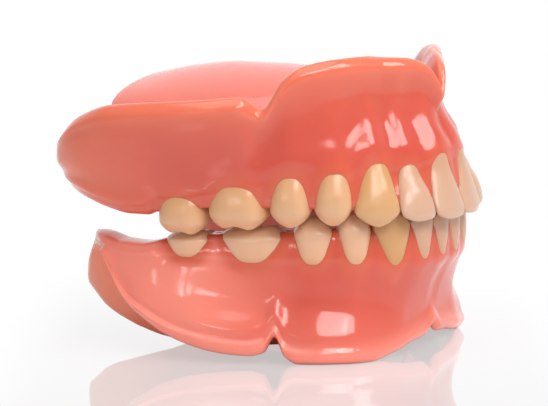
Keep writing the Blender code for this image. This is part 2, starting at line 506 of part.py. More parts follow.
def solid(name, points, faces, material, group, mirrored=False):
    """Object from points in millimetres, moved so that the origin lies under the middle."""
    p = np.array(points, float)
    p[:, 1] -= Y_CENTRE
    mesh = bpy.data.meshes.new(name)
    mesh.from_pydata([tuple(q * MM) for q in p], [], faces)
    obj = bpy.data.objects.new(name, mesh)
    group.objects.link(obj)
    mesh.materials.append(material)
    bpy.context.view_layer.objects.active = obj
    for other in bpy.context.selected_objects:
        other.select_set(False)
    obj.select_set(True)
    if mirrored:
        bpy.ops.object.mode_set(mode="EDIT")
        bpy.ops.mesh.select_all(action="SELECT")
        bpy.ops.mesh.remove_doubles(threshold=0.00002)
        bpy.ops.object.mode_set(mode="OBJECT")
        mirror = obj.modifiers.new("mirror", "MIRROR")
        mirror.use_axis = (True, False, False)
        mirror.use_clip = True
        mirror.use_mirror_merge = True
        mirror.merge_threshold = 0.00005
        bpy.ops.object.modifier_apply(modifier="mirror")
    skin = bmesh.new()
    skin.from_mesh(mesh)
    bmesh.ops.recalc_face_normals(skin, faces=skin.faces)
    if skin.calc_volume(signed=True) < 0.0:
        bmesh.ops.reverse_faces(skin, faces=skin.faces)
    skin.to_mesh(mesh)
    skin.free()
    return obj


def shade(name, colour, roughness):
    """Resin of one colour with a soft gloss."""
    material = bpy.data.materials.new(name)
    material.use_nodes = True
    node = material.node_tree.nodes["Principled BSDF"]
    node.inputs["Base Color"].default_value = (*colour, 1.0)
    node.inputs["Roughness"].default_value = roughness
    node.inputs["Metallic"].default_value = 0.0
    material.diffuse_color = (*colour, 1.0)
    return material


def main():
    for obj in list(bpy.data.objects):
        bpy.data.objects.remove(obj)
    scene = bpy.context.scene
    scene.unit_settings.system = "METRIC"
    parts = bpy.data.collections.new("full_denture")
    cutters = bpy.data.collections.new("cutters")
    scene.collection.children.link(parts)
    scene.collection.children.link(cutters)
    gum = shade("gum_resin", (0.74, 0.16, 0.12), 0.28)
    enamel = {"front": shade("tooth_front", (0.78, 0.56, 0.40), 0.30),
              "canine": shade("tooth_canine", (0.76, 0.48, 0.26), 0.30),
              "back": shade("tooth_back", (0.79, 0.52, 0.32), 0.30)}
    for jaw, plan, teeth, sections, last in (("upper", UPPER_PLAN, UPPER_TEETH, upper_sections, UPPER_END),
                                             ("lower", LOWER_PLAN, LOWER_TEETH, lower_sections, LOWER_END)):
        line = plan_line(plan)
        joints = joints_of(line, plan, len(teeth))
        end = reach_of(line, plan, last)
        notch = [place_of_notch * end for place_of_notch in NOTCHES[jaw]]
        polished, tissue = sections(line, joints, stations(joints, end, notch), end)
        plate = sheet_object(jaw + "_base", polished, tissue, gum, parts)
        sockets = []
        for side, hand in ((-1, "right"), (1, "left")):
            for i, tooth in enumerate(teeth):
                name = f"{jaw}_{hand}_{tooth[0]}"
                turns = 12 if "molar" in name and "pre" not in name else 10
                start, end_of = joints[i], joints[i + 1]
                p, faces = tooth_mesh(line, tooth, start, end_of, jaw == "upper", side, 0.0, turns)
                solid(name, p, faces, enamel[tooth[2]], parts)
                p, faces = tooth_mesh(line, tooth, start, end_of, jaw == "upper", side, BOND_GAP, turns)
                sockets.append(solid("socket_" + name, p, faces, gum, cutters))
        for obj in bpy.context.selected_objects:
            obj.select_set(False)
        for obj in sockets:
            obj.select_set(True)
        bpy.context.view_layer.objects.active = sockets[0]
        bpy.ops.object.join()
        tool = sockets[0]
        tool.name = jaw + "_sockets"
        tool.hide_render = True
        tool.display_type = "WIRE"
        cut = plate.modifiers.new("sockets", "BOOLEAN")
        cut.operation = "DIFFERENCE"
        cut.solver = "EXACT"
        cut.object = tool
        tool.select_set(False)
        plate.select_set(True)
        bpy.context.view_layer.objects.active = plate
        bpy.ops.object.modifier_apply(modifier="sockets")
    for obj in parts.objects:
        bpy.context.view_layer.objects.active = obj
        for other in bpy.context.selected_objects:
            other.select_set(False)
        obj.select_set(True)
        bpy.ops.object.shade_smooth()
        obj.data.set_sharp_from_angle(angle=math.radians(50.0))


main()
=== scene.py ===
# %% [markdown]
# # Full denture, upper and lower plate closed in the bite
#
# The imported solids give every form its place. This script repeats the same forms with finer steps, so that the
# resin gets its soft skin, its rolled borders and its crisp gum line, and then lights them as in a studio.

# %% The frame
import math

import bpy
import numpy as np
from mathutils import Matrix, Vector
from mathutils.bvhtree import BVHTree


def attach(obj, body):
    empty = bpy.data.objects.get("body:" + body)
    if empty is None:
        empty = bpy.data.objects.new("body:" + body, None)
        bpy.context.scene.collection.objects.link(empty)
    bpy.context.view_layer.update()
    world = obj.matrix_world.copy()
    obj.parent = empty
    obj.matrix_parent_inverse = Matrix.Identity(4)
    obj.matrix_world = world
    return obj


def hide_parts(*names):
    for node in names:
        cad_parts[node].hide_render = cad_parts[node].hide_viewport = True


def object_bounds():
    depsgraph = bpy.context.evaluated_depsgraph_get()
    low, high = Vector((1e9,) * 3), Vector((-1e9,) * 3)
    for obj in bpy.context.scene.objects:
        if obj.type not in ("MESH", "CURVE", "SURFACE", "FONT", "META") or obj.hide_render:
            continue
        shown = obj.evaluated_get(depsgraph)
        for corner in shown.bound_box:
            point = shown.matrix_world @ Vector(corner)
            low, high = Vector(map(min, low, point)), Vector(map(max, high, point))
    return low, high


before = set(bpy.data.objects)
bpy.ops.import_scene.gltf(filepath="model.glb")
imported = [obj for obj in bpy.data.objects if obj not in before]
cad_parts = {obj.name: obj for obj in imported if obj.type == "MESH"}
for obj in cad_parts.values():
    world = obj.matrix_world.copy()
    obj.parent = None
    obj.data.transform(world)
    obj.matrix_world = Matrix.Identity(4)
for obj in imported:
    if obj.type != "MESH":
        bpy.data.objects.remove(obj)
box_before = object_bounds()
print("CAD box in mm:", [[round(1000 * v, 2) for v in corner] for corner in box_before])

# %% [markdown]
# ## Sizes
#
# The resin plates were made on one arch plan each. The sizes are those of the solids: the same widths, depths and
# gaps, in millimetres, with the y axis counted back from the upper front teeth.

# %% Sizes in millimetres
MM = 0.001
ARCH_WIDTH = 58.6        # across the contact line at the back of the upper second molars
ARCH_DEPTH = 41.2        # from the upper front teeth to the back of the second molars
FLANGE_RISE = 19.0       # height of the upper flange over z = 30, where the roots end
PALATE_THICKNESS = 2.5
FLANGE_THICKNESS = 2.9
CONTACT_GAP = 0.12       # the teeth nearly touch; the solids keep a wider gap
NECK_COVER = 0.35        # how far the gum stands proud of a tooth at its neck
Y_CENTRE = 30.98         # what is taken off y so that the origin lies under the middle
PALATE_FRONT = 17.6      # where the vault begins on the side that meets the mouth
PALATE_LOBE = 2.2        # how far the back edge of the palate bows back beside the midline

# %% [markdown]
# ## Plan of the arches
#
# Teeth are set along a contact line. It is walked in fine steps, and every form after this is placed by how far
# along that line it is, how far out from it and how high.

# %% Plan lines
UPPER_PLAN = ((0.0, 0.0), (8.0, 1.2), (14.2, 4.4), (19.6, 10.0), (23.0, 15.8), (25.6, 22.6), (28.1, 32.6),
              (29.3, 41.2), (29.6, 48.0), (28.2, 54.6), (24.6, 59.4), (19.8, 60.8))
LOWER_PLAN = ((0.0, 2.3), (5.0, 2.7), (10.0, 4.5), (14.9, 9.0), (18.5, 13.9), (21.4, 20.6), (25.1, 32.4),
              (27.0, 41.2), (27.2, 46.6), (26.3, 51.8), (24.8, 56.4), (22.2, 63.9))
UPPER_END = 11           # point of the plan where the upper plate ends
LOWER_END = 10           # point of the plan where the pad of the lower plate ends


def curve(knots, values, at):
    """Value of a smooth curve without overshoot through the named stations."""
    k = np.asarray(knots, float)
    v = np.asarray(values, float)
    t = np.clip(np.asarray(at, float), k[0], k[-1])
    step = np.diff(k)
    slope = np.diff(v) / step
    lean = np.zeros(len(k))
    same = slope[:-1] * slope[1:] > 0.0
    lean[1:-1][same] = 2.0 * slope[:-1][same] * slope[1:][same] / (slope[:-1][same] + slope[1:][same])
    lean[-1] = slope[-1]
    i = np.clip(np.searchsorted(k, t, side="right") - 1, 0, len(step) - 1)
    h = step[i]
    u = (t - k[i]) / h
    first = (2 * u**3 - 3 * u**2 + 1) * v[i] + (u**3 - 2 * u**2 + u) * h * lean[i]
    return first + (3 * u**2 - 2 * u**3) * v[i + 1] + (u**3 - u**2) * h * lean[i + 1]


def plan_line(plan):
    """Walk along the arch in plan: (length so far, x, y back, unit outward normal) in fine steps."""
    p = np.array(plan, float)
    p[:, 0] *= ARCH_WIDTH / 58.6
    p[:, 1] *= ARCH_DEPTH / 41.2
    p = np.vstack([[-p[1, 0], p[1, 1]], p, 2 * p[-1] - p[-2]])
    walk = []
    for i in range(1, len(p) - 2):
        for t in np.linspace(0.0, 1.0, 40, endpoint=False):
            a, b, c, d = p[i - 1:i + 3]
            walk.append(0.5 * ((2 * b) + (c - a) * t + (2 * a - 5 * b + 4 * c - d) * t**2
                               + (3 * b - a - 3 * c + d) * t**3))
    walk.append(p[-2])
    walk = np.array(walk)
    length = np.concatenate([[0.0], np.cumsum(np.hypot(*np.diff(walk, axis=0).T))])
    lean = np.gradient(walk, length, axis=0)
    lean[0] = (1.0, 0.0)
    lean /= np.hypot(lean[:, 0], lean[:, 1])[:, None]
    return {"s": length, "x": walk[:, 0], "y": walk[:, 1], "nx": lean[:, 1], "ny": -lean[:, 0]}


def place(line, s, n, z):
    """Point in space from a place along the arch, an offset outwards and a height."""
    s, n, z = np.broadcast_arrays(np.asarray(s, float), np.asarray(n, float), np.asarray(z, float))
    x = np.interp(s, line["s"], line["x"]) + n * np.interp(s, line["s"], line["nx"])
    y = np.interp(s, line["s"], line["y"]) + n * np.interp(s, line["s"], line["ny"])
    return np.stack([x, y, z], axis=-1)


def reach_of(line, plan, mark):
    """Length along the arch to one point of the plan."""
    x, y = plan[mark]
    gap = np.hypot(line["x"] - x * ARCH_WIDTH / 58.6, line["y"] - y * ARCH_DEPTH / 41.2)
    return float(line["s"][int(np.argmin(gap))])


def joints_of(line, plan, count):
    """Lengths along the arch where the teeth meet: the first points of the plan."""
    return [reach_of(line, plan, i) for i in range(count + 1)]


def blend(a, b, share):
    return a + (b - a) * share


ARCHES = {}
for jaw, plan, last in (("upper", UPPER_PLAN, UPPER_END), ("lower", LOWER_PLAN, LOWER_END)):
    line = plan_line(plan)
    ARCHES[jaw] = {"line": line, "joints": joints_of(line, plan, 7), "end": reach_of(line, plan, last)}
    print(jaw, "arch:", round(ARCHES[jaw]["end"], 1), "mm from the midline to the back end")

# %% [markdown]
# ## The ready-made teeth
#
# Resin denture teeth come from a mould. Each is described from its neck to its tip by how far its outer and inner
# face stand off the contact line and how wide it is there. The chewing teeth have cusps on top.

# %% Tooth forms
LEVELS = (-0.25, 0.0, 0.25, 0.5, 0.75, 0.9, 1.0)
UPPER_TEETH = (
    ("central_incisor", "incisor", "front", 22.6, 33.3,
     (-6.4, -1.9, -1.2, -0.2, 0.6, 1.0, 0.7), (-9.6, -8.2, -6.9, -4.6, -2.3, -1.0, -0.2),
     (0.60, 0.76, 0.88, 0.95, 0.99, 1.0, 0.94)),
    ("lateral_incisor", "incisor", "front", 22.9, 31.7,
     (-7.2, -2.9, -1.6, -0.1, 0.7, 0.9, 0.5), (-8.8, -7.4, -6.3, -4.2, -2.1, -1.0, -0.3),
     (0.62, 0.82, 0.93, 0.98, 1.0, 0.99, 0.92)),
    ("canine", "canine", "canine", 22.4, 32.2,
     (-5.8, -2.0, -0.6, 0.6, 1.2, 1.0, 0.3), (-7.6, -7.6, -6.9, -5.2, -3.0, -1.5, -0.5),
     (0.62, 0.80, 0.92, 0.98, 1.0, 0.98, 0.86)),
    ("first_premolar", "upper_premolar", "back", 22.2, 31.0,
     (-1.4, 0.2, 1.2, 1.8, 1.6, 1.3, 1.1), (-6.4, -7.3, -7.7, -7.8, -7.3, -7.0, -6.8),
     (0.68, 0.82, 0.93, 1.0, 1.0, 0.98, 0.96)),
    ("second_premolar", "upper_premolar", "back", 21.8, 30.3,
     (-1.2, 0.3, 1.3, 1.8, 1.6, 1.3, 1.1), (-6.6, -7.5, -7.9, -8.0, -7.5, -7.2, -7.0),
     (0.68, 0.82, 0.93, 1.0, 1.0, 0.98, 0.96)),
    ("first_molar", "upper_molar", "back", 21.1, 28.7,
     (-0.6, 0.8, 1.6, 2.0, 1.7, 1.4, 1.2), (-7.8, -8.8, -9.3, -9.3, -8.8, -8.5, -8.3),
     (0.76, 0.87, 0.95, 1.0, 1.0, 0.98, 0.96)),
    ("second_molar", "upper_molar", "back", 20.0, 26.6,
     (-0.8, 0.7, 1.5, 1.8, 1.5, 1.2, 1.0), (-7.6, -8.5, -9.0, -9.0, -8.5, -8.2, -8.0),
     (0.76, 0.87, 0.95, 1.0, 1.0, 0.98, 0.96)),
)
LOWER_TEETH = (
    ("central_incisor", "incisor", "front", 23.4, 15.5,
     (-2.4, -0.1, 0.3, 0.45, 0.35, 0.15, -0.1), (-4.6, -5.2, -4.7, -3.4, -1.9, -1.2, -0.8),
     (0.58, 0.68, 0.80, 0.92, 0.98, 1.0, 0.95)),
    ("lateral_incisor", "incisor", "front", 23.4, 15.5,
     (-2.3, 0.0, 0.4, 0.5, 0.4, 0.15, -0.1), (-4.8, -5.4, -4.9, -3.5, -2.0, -1.2, -0.8),
     (0.58, 0.68, 0.80, 0.92, 0.98, 1.0, 0.95)),
    ("canine", "canine", "canine", 24.0, 15.1,
     (-0.9, 0.6, 1.1, 1.2, 0.8, 0.4, 0.0), (-5.4, -6.2, -5.8, -4.5, -2.6, -1.5, -0.7),
     (0.56, 0.66, 0.80, 0.92, 1.0, 0.97, 0.82)),
    ("first_premolar", "lower_premolar", "back", 24.2, 15.7,
     (-0.4, 1.1, 1.7, 1.7, 1.2, 0.9, 0.6), (-5.2, -6.0, -6.3, -6.3, -6.0, -5.8, -5.6),
     (0.56, 0.63, 0.76, 0.90, 1.0, 0.98, 0.96)),
    ("second_premolar", "lower_premolar", "back", 23.4, 15.7,
     (-0.3, 1.2, 1.8, 1.8, 1.3, 1.0, 0.7), (-5.6, -6.4, -6.8, -6.8, -6.4, -6.2, -6.0),
     (0.56, 0.63, 0.76, 0.90, 1.0, 0.98, 0.96)),
    ("first_molar", "lower_molar", "back", 22.2, 15.8,
     (0.0, 1.5, 2.0, 2.0, 1.5, 1.2, 0.9), (-7.2, -8.1, -8.5, -8.5, -8.1, -7.9, -7.7),
     (0.66, 0.74, 0.84, 0.94, 1.0, 0.98, 0.96)),
    ("second_molar", "lower_molar", "back", 21.0, 16.4,
     (0.0, 1.4, 1.9, 1.9, 1.4, 1.1, 0.8), (-6.9, -7.8, -8.2, -8.2, -7.8, -7.6, -7.4),
     (0.66, 0.74, 0.84, 0.94, 1.0, 0.98, 0.96)),
)
CUSPS = {
    "upper_premolar": ((0.0, 0.46, 0.0), (0.0, -0.48, -0.5)),
    "lower_premolar": ((0.0, 0.30, 0.0), (0.0, -0.52, -1.2)),
    "upper_molar": ((-0.44, 0.56, 0.0), (0.46, 0.54, -0.15), (-0.40, -0.50, -1.0), (0.44, -0.46, -1.4)),
    "lower_molar": ((-0.48, 0.40, -0.2), (0.06, 0.42, -0.3), (0.58, 0.32, -0.6), (-0.42, -0.58, -0.8),
                    (0.42, -0.56, -0.9)),
}
CUSP_SLOPE = 0.42
CROWN_WALL = 0.60        # share of a chewing tooth's height where its sides end and the cusps begin
TEETH = {"upper": UPPER_TEETH, "lower": LOWER_TEETH}

# %% [markdown]
# The crowns in front of the molars get rounder necks here than in the solids. Their width shares are the mean of
# the solids' own and of a rounder row.

# %% Rounder necks
MOLARS = ("first_molar", "second_molar")
NECK_SHARE = {
    "upper": (0.50, 0.68, 0.86, 0.97, 1.0, 0.99, 0.92),
    "lower": (0.5, 0.80, 0.92, 0.97, 1.0, 0.99, 0.94),
}
for jaw, rows in TEETH.items():
    wide = [row[7] if row[0] in MOLARS else
            tuple(0.5 * (w + more) for w, more in zip(row[7], NECK_SHARE[jaw])) for row in rows]
    TEETH[jaw] = tuple(row[:7] + (shares,) for row, shares in zip(rows, wide))


def ring_level(tooth, level):
    """Outer face, inner face and width share of a tooth at a height of its crown."""
    return (float(curve(LEVELS, tooth[5], level)), float(curve(LEVELS, tooth[6], level)),
            float(curve(LEVELS, tooth[7], level)))


def cusp_height(kind, high, along, across, half, deep):
    """Height over the neck of the chewing surface, as the smooth upper hull of the cusps."""
    total = 0.0
    for a, b, drop in CUSPS[kind]:
        far = math.hypot((along - a) * half, (across - b) * deep)
        total += math.exp(3.5 * (high + drop - CUSP_SLOPE * (math.sqrt(far * far + 0.36) - 0.6)))
    return math.log(total) / 3.5


def tooth_rings(tooth, middle, width, grow, turns, walls, tops):
    """Rings of (length, offset, height over the neck) from the socket end to the tip, then the tip point."""
    high = abs(tooth[4] - tooth[3])
    chewing = tooth[1] in CUSPS
    rings = []
    for level in walls:
        out, back, share = ring_level(tooth, level)
        half = width * share / 2.0 + grow
        centre = (out + back) / 2.0
        deep = (out - back) / 2.0 + grow
        power = 2.0 / (2.7 if chewing else 2.3)
        ring = []
        for j in range(turns):
            angle = 2.0 * math.pi * (j + 0.5) / turns
            a = math.copysign(abs(math.cos(angle)) ** power, math.cos(angle))
            b = math.copysign(abs(math.sin(angle)) ** power, math.sin(angle))
            up = level * high
            if level < 0.0:
                up -= grow
            if tooth[1] == "canine" and level > 0.5:
                up -= 1.6 * a * a * (level - 0.5) / 0.5
            if tooth[1] == "incisor" and level > 0.5:
                up -= (0.25 + (0.65 if a > 0 else 0.0)) * abs(a) ** 3 * (level - 0.5) / 0.5
            ring.append((middle + a * half, centre + b * deep, up))
        rings.append(ring)
    if not chewing:
        edge = rings[-1]
        return rings, (middle, sum(q[1] for q in edge) / turns, high + grow)
    out, back, share = ring_level(tooth, CROWN_WALL)
    half = width * share / 2.0
    centre = (out + back) / 2.0
    deep = (out - back) / 2.0
    foot = CROWN_WALL * high
    for reach in tops:
        dome = math.sqrt(1.0 - reach ** 3.2)
        ring = []
        for j in range(turns):
            angle = 2.0 * math.pi * (j + 0.5) / turns
            a = reach * math.copysign(abs(math.cos(angle)) ** power, math.cos(angle))
            b = reach * math.copysign(abs(math.sin(angle)) ** power, math.sin(angle))
            up = foot + (cusp_height(tooth[1], high, a, b, half, deep) - foot) * dome
            ring.append((middle + a * (half + grow), centre + b * (deep + grow), up + grow))
        rings.append(ring)
    return rings, (middle, centre, cusp_height(tooth[1], high, 0.0, 0.0, half, deep) + grow)


# %% [markdown]
# A real tooth's skin is smooth, so the loft gets 44 points round and rings close together. The front teeth get a
# rounded biting edge. Each vertex keeps its height along the crown for the colour later, and no point leaves the
# solids' box.

# %% Tooth surfaces
TURNS = 44


def mesh_piece(name, points, faces):
    """A new object from points in millimetres counted as above, with smooth faces."""
    p = np.array(points, float)
    p[:, 1] -= Y_CENTRE
    p = np.clip(p, np.array(box_before[0]) / MM, np.array(box_before[1]) / MM)
    mesh = bpy.data.meshes.new(name)
    mesh.from_pydata([tuple(q) for q in p * MM], [], faces)
    mesh.update()
    for face in mesh.polygons:
        face.use_smooth = True
    obj = bpy.data.objects.new(name, mesh)
    bpy.context.scene.collection.objects.link(obj)
    return obj


def tooth_surface(jaw, index, side):
    """Points, faces and heights along the crown (0 at the neck, 1 at the tip) of one tooth."""
    tooth = TEETH[jaw][index]
    arch = ARCHES[jaw]
    start, end = arch["joints"][index:index + 2]
    chewing = tooth[1] in CUSPS
    top = CROWN_WALL if chewing else 1.0
    walls = list(np.linspace(-0.19, 0.1, 6)) + list(np.linspace(0.1, top, 20))[1:]
    tops = (0.99, 0.97, 0.94, 0.9, 0.84, 0.76, 0.67, 0.57, 0.46, 0.34, 0.22, 0.1) if chewing else ()
    rings, tip = tooth_rings(tooth, (start + end) / 2.0, end - start - CONTACT_GAP, 0.0, TURNS, walls, tops)
    if not chewing:
        edge = np.array(rings[-1])
        core = edge.mean(axis=0)
        for share in (0.93, 0.8, 0.6, 0.35, 0.12):
            ring = core + (edge - core) * (share, share, 1.0)
            ring[:, 2] += 0.22 * math.sqrt(1.0 - share * share)
            rings.append([tuple(q) for q in ring])
        tip = (core[0], core[1], edge[:, 2].max() + 0.1)
    q = np.array([point for ring in rings for point in ring] + [tip])
    high = abs(tooth[4] - tooth[3])
    z = tooth[4] - q[:, 2] if jaw == "upper" else tooth[4] + q[:, 2]
    points = place(arch["line"], q[:, 0], q[:, 1], z)
    points[:, 0] *= side
    faces = []
    for i in range(len(rings) - 1):
        for j in range(TURNS):
            k = (j + 1) % TURNS
            faces.append((i * TURNS + j, i * TURNS + k, (i + 1) * TURNS + k, (i + 1) * TURNS + j))
    last = (len(rings) - 1) * TURNS
    faces += [(last + j, last + (j + 1) % TURNS, len(q) - 1) for j in range(TURNS)]
    if (jaw == "upper") != (side > 0):
        faces = [tuple(reversed(face)) for face in faces]
    return points, faces, np.clip(q[:, 2] / high, 0.0, 1.0)


def keep_values(obj, name, values):
    """One number per vertex, stored on the mesh for the materials."""
    layer = obj.data.attributes.new(name, "FLOAT", "POINT")
    layer.data.foreach_set("value", np.asarray(values, np.float32))


teeth = {}
for jaw in ("upper", "lower"):
    for side, hand in ((-1, "right"), (1, "left")):
        for index, tooth in enumerate(TEETH[jaw]):
            points, faces, along = tooth_surface(jaw, index, side)
            piece = mesh_piece(f"skin_{jaw}_{hand}_{tooth[0]}", points, faces)
            keep_values(piece, "crown", along)
            teeth[jaw, hand, tooth[0]] = piece
print("teeth:", len(teeth), "with", sum(len(t.data.vertices) for t in teeth.values()), "vertices")

# %% [markdown]
# ## The plates
#
# A plate was pressed or poured as pink resin in a mould round the teeth, then trimmed and polished. Its sections
# are set at stations along the arch, as in the solids.

# %% Forms of the plates
UPPER_PAPILLAE = (26.9, 26.2, 25.8, 25.2, 25.4, 25.4, 25.0, 24.0)
LOWER_PAPILLAE = (21.2, 21.3, 21.7, 21.0, 21.0, 20.6, 19.9, 18.9)
UPPER_STATIONS = (0.0, 1.4, 3.5, 8.0, 15.5, 20.0, 26.0, 31.2, 35.2, 38.6, 41.6, 48.0, 56.0, 63.0, 69.0,
                  74.0, 78.0, 82.0)
UPPER_FORM = {
    "border": (42.9, 45.3, 47.4, 48.4, 48.7, 49.0, 48.8, 48.0, 45.6, 41.0, 43.0, 42.5, 41.9, 41.2, 39.2,
               36.0, 33.3, 31.6),
    "border_n": (-4.8, -5.1, -5.9, -7.1, -7.6, -6.3, -3.6, -1.7, -0.6, -0.3, 1.4, 2.5, 2.9, 2.9, 2.5, 2.2,
                 1.8, 1.4),
    "roll": (1.1, 1.2, 1.3, 1.4, 1.5, 1.6, 1.5, 1.4, 1.3, 1.2, 1.6, 1.8, 1.8, 1.8, 1.7, 1.5, 1.2, 0.9),
    "high_n": (-4.8, -5.1, -5.9, -6.8, -6.9, -5.6, -2.8, -0.8, 0.1, 0.2, 2.1, 3.5, 4.0, 4.2, 4.1, 3.8,
               3.0, 2.2),
    "mid_n": (-3.9, -4.1, -4.7, -5.5, -5.6, -4.4, -2.0, -0.5, 0.2, 0.3, 1.2, 2.0, 2.4, 3.0, 3.6, 3.6, 2.9,
              2.0),
    "low_n": (-2.5, -2.5, -2.7, -3.3, -3.2, -2.0, -0.5, 0.4, 0.6, 0.7, 0.9, 1.2, 1.3, 1.6, 2.3, 2.5, 2.2,
              1.6),
    "trough": (37.2, 37.2, 37.1, 37.0, 36.5, 36.0, 35.2, 34.5, 34.0, 33.6, 33.3, 32.5, 31.3, 30.6, 30.2,
               30.0, 30.0, 30.0),
    "trough_n": (-10.8, -10.9, -11.2, -11.8, -11.3, -9.4, -7.0, -5.5, -4.7, -4.3, -4.0, -3.6, -3.2, -2.8,
                 -2.2, -1.8, -1.4, -1.2),
    "inner_n": (-8.6, -8.6, -8.6, -8.6, -8.9, -9.4, -9.8, -10.0, -10.0, -10.0, -10.1, -10.3, -9.6, -8.0,
                -6.4, -5.4, -4.6, -4.0),
    "wall_n": (-14.6, -14.7, -14.8, -15.2, -14.1, -12.2, -10.2, -8.8, -8.4, -8.2, -8.0, -7.8, -7.0, -6.0,
               -5.0, -4.4, -3.8, -3.4),
    "keel_y": (9.8, 10.1, 10.6, 11.8, 14.0, 16.0, 19.5, 23.0, 25.6, 28.6, 31.4, 37.6, 43.6, 48.4, 51.8,
               54.0, 55.4, 56.4),
}
UPPER_REAR = {"stations": (54.0, 57.0, 61.0, 65.0, 69.0, 74.0, 78.0, 82.0),
              "crest": (24.0, 23.0, 23.0, 23.7, 24.8, 25.8, 26.3, 26.8)}
KEEL_Y = (9.8, 12.0, 15.0, 20.0, 26.0, 34.0, 42.0, 50.0, 58.2)
KEEL_Z = (34.8, 35.5, 37.0, 40.0, 42.4, 43.5, 43.5, 42.7, 40.9)
LOWER_STATIONS = (0.0, 3.0, 8.0, 14.0, 18.0, 22.0, 29.4, 31.5, 33.3, 34.9, 37.4, 41.0, 44.0, 48.0, 52.0,
                  56.0, 59.0, 61.5, 64.0, 66.5, 69.0)
LOWER_FORM = {
    "border": (3.7, 2.1, 1.7, 0.7, 0.0, 0.0, 0.0, 1.0, 4.3, 1.8, 1.2, 1.4, 1.8, 2.7, 4.2, 6.7, 8.8, 11.2,
               13.6, 15.8, 16.4),
    "border_n": (-3.7, -3.7, -3.1, -0.8, 1.3, 2.5, 3.3, 3.3, 3.0, 3.5, 3.9, 4.2, 4.1, 3.6, 3.1, 2.6, 2.2,
                 1.8, 1.5, 1.3, 1.2),
    "roll": (1.2, 1.3, 1.4, 1.5, 1.6, 1.7, 1.7, 1.5, 1.2, 1.5, 1.8, 1.9, 1.9, 1.8, 1.7, 1.5, 1.3, 1.2,
             1.0, 0.9, 0.8),
    "high_n": (-3.4, -3.4, -2.8, -0.2, 2.0, 3.2, 4.0, 3.8, 3.4, 4.0, 4.8, 5.2, 5.1, 4.5, 3.9, 3.3, 2.6,
               2.4, 2.2, 2.0, 1.8),
    "mid_n": (-2.8, -2.8, -2.3, -0.9, 0.3, 1.2, 1.7, 1.8, 1.9, 2.1, 2.3, 2.7, 2.9, 3.0, 2.9, 2.7, 2.4,
              2.0, 1.8, 1.5, 1.2),
    "low_n": (-1.2, -1.2, -0.9, 0.0, 0.6, 1.1, 1.4, 1.5, 1.5, 1.6, 1.6, 1.8, 1.9, 1.9, 1.9, 1.9, 1.8, 1.6,
              1.4, 1.2, 1.0),
    "trough": (11.0, 11.0, 11.0, 11.0, 11.0, 11.0, 11.0, 11.0, 11.0, 11.0, 10.9, 10.8, 10.9, 11.3, 11.8,
               12.6, 13.6, 14.6, 15.3, 15.7, 15.8),
    "trough_n": (-5.6, -5.6, -5.3, -4.6, -4.0, -3.6, -3.4, -3.4, -3.4, -3.4, -3.4, -3.4, -3.4, -3.4, -3.3,
                 -3.1, -2.9, -2.7, -2.6, -2.5, -2.4),
    "tongue_border": (5.6, 4.4, 3.2, 2.2, 1.6, 1.2, 0.9, 0.8, 0.7, 0.6, 0.4, 0.0, 0.0, 0.0, 0.1, 0.8, 1.5,
                      2.4, 3.5, 5.2, 8.6),
    "tongue_n": (-9.8, -9.8, -9.5, -9.0, -8.8, -8.7, -8.9, -9.0, -9.1, -9.2, -9.3, -9.7, -10.0, -10.2,
                 -9.9, -8.8, -7.7, -6.8, -6.0, -5.4, -5.0),
    "tongue_mid_n": (-8.8, -8.8, -8.5, -8.2, -8.1, -8.2, -8.6, -8.8, -8.9, -9.0, -9.2, -9.6, -9.9, -10.0,
                     -9.7, -8.8, -7.8, -7.0, -6.4, -5.8, -5.4),
}
LAG = (-3.4, 7.2)        # how far the cheek side stops short of the pad's end and the tongue side runs past it
LOWER_REAR = {"stations": (50.0, 53.0, 56.0, 60.0, 64.0, 67.0, 69.0),
              "crest": (18.6, 18.6, 18.2, 18.3, 19.1, 19.5, 18.9)}

# %% [markdown]
# The ridge of gum along the crowns is one smooth band. The crowns leave it at their necks, and that makes the
# scalloped gum line with its tips between the teeth.

# %% Sections of the plates
def crown_ridge(teeth, papillae, joints, s, upper):
    """The ridge of gum that the crowns grow out of: heights and offsets along the arch, both faces."""
    sign = -1.0 if upper else 1.0
    middles = [(a + b) / 2.0 for a, b in zip(joints[:-1], joints[1:])]
    peak = curve(joints, papillae, s)
    neck = curve(middles, [t[4] for t in teeth], s)
    rows = {"peak": peak, "neck": neck}
    for name, side, level in (("out_neck", 0, 0.0), ("out_peak", 0, 0.6), ("in_neck", 1, 0.12),
                              ("in_peak", 1, 0.6)):
        rows[name] = curve(middles, [ring_level(t, level)[side] for t in teeth], s)
    rows["inner_neck"] = neck + sign * 0.9
    rows["shoulder"] = np.minimum(1.9, 0.33 * (rows["out_peak"] - rows["in_peak"]))
    return rows


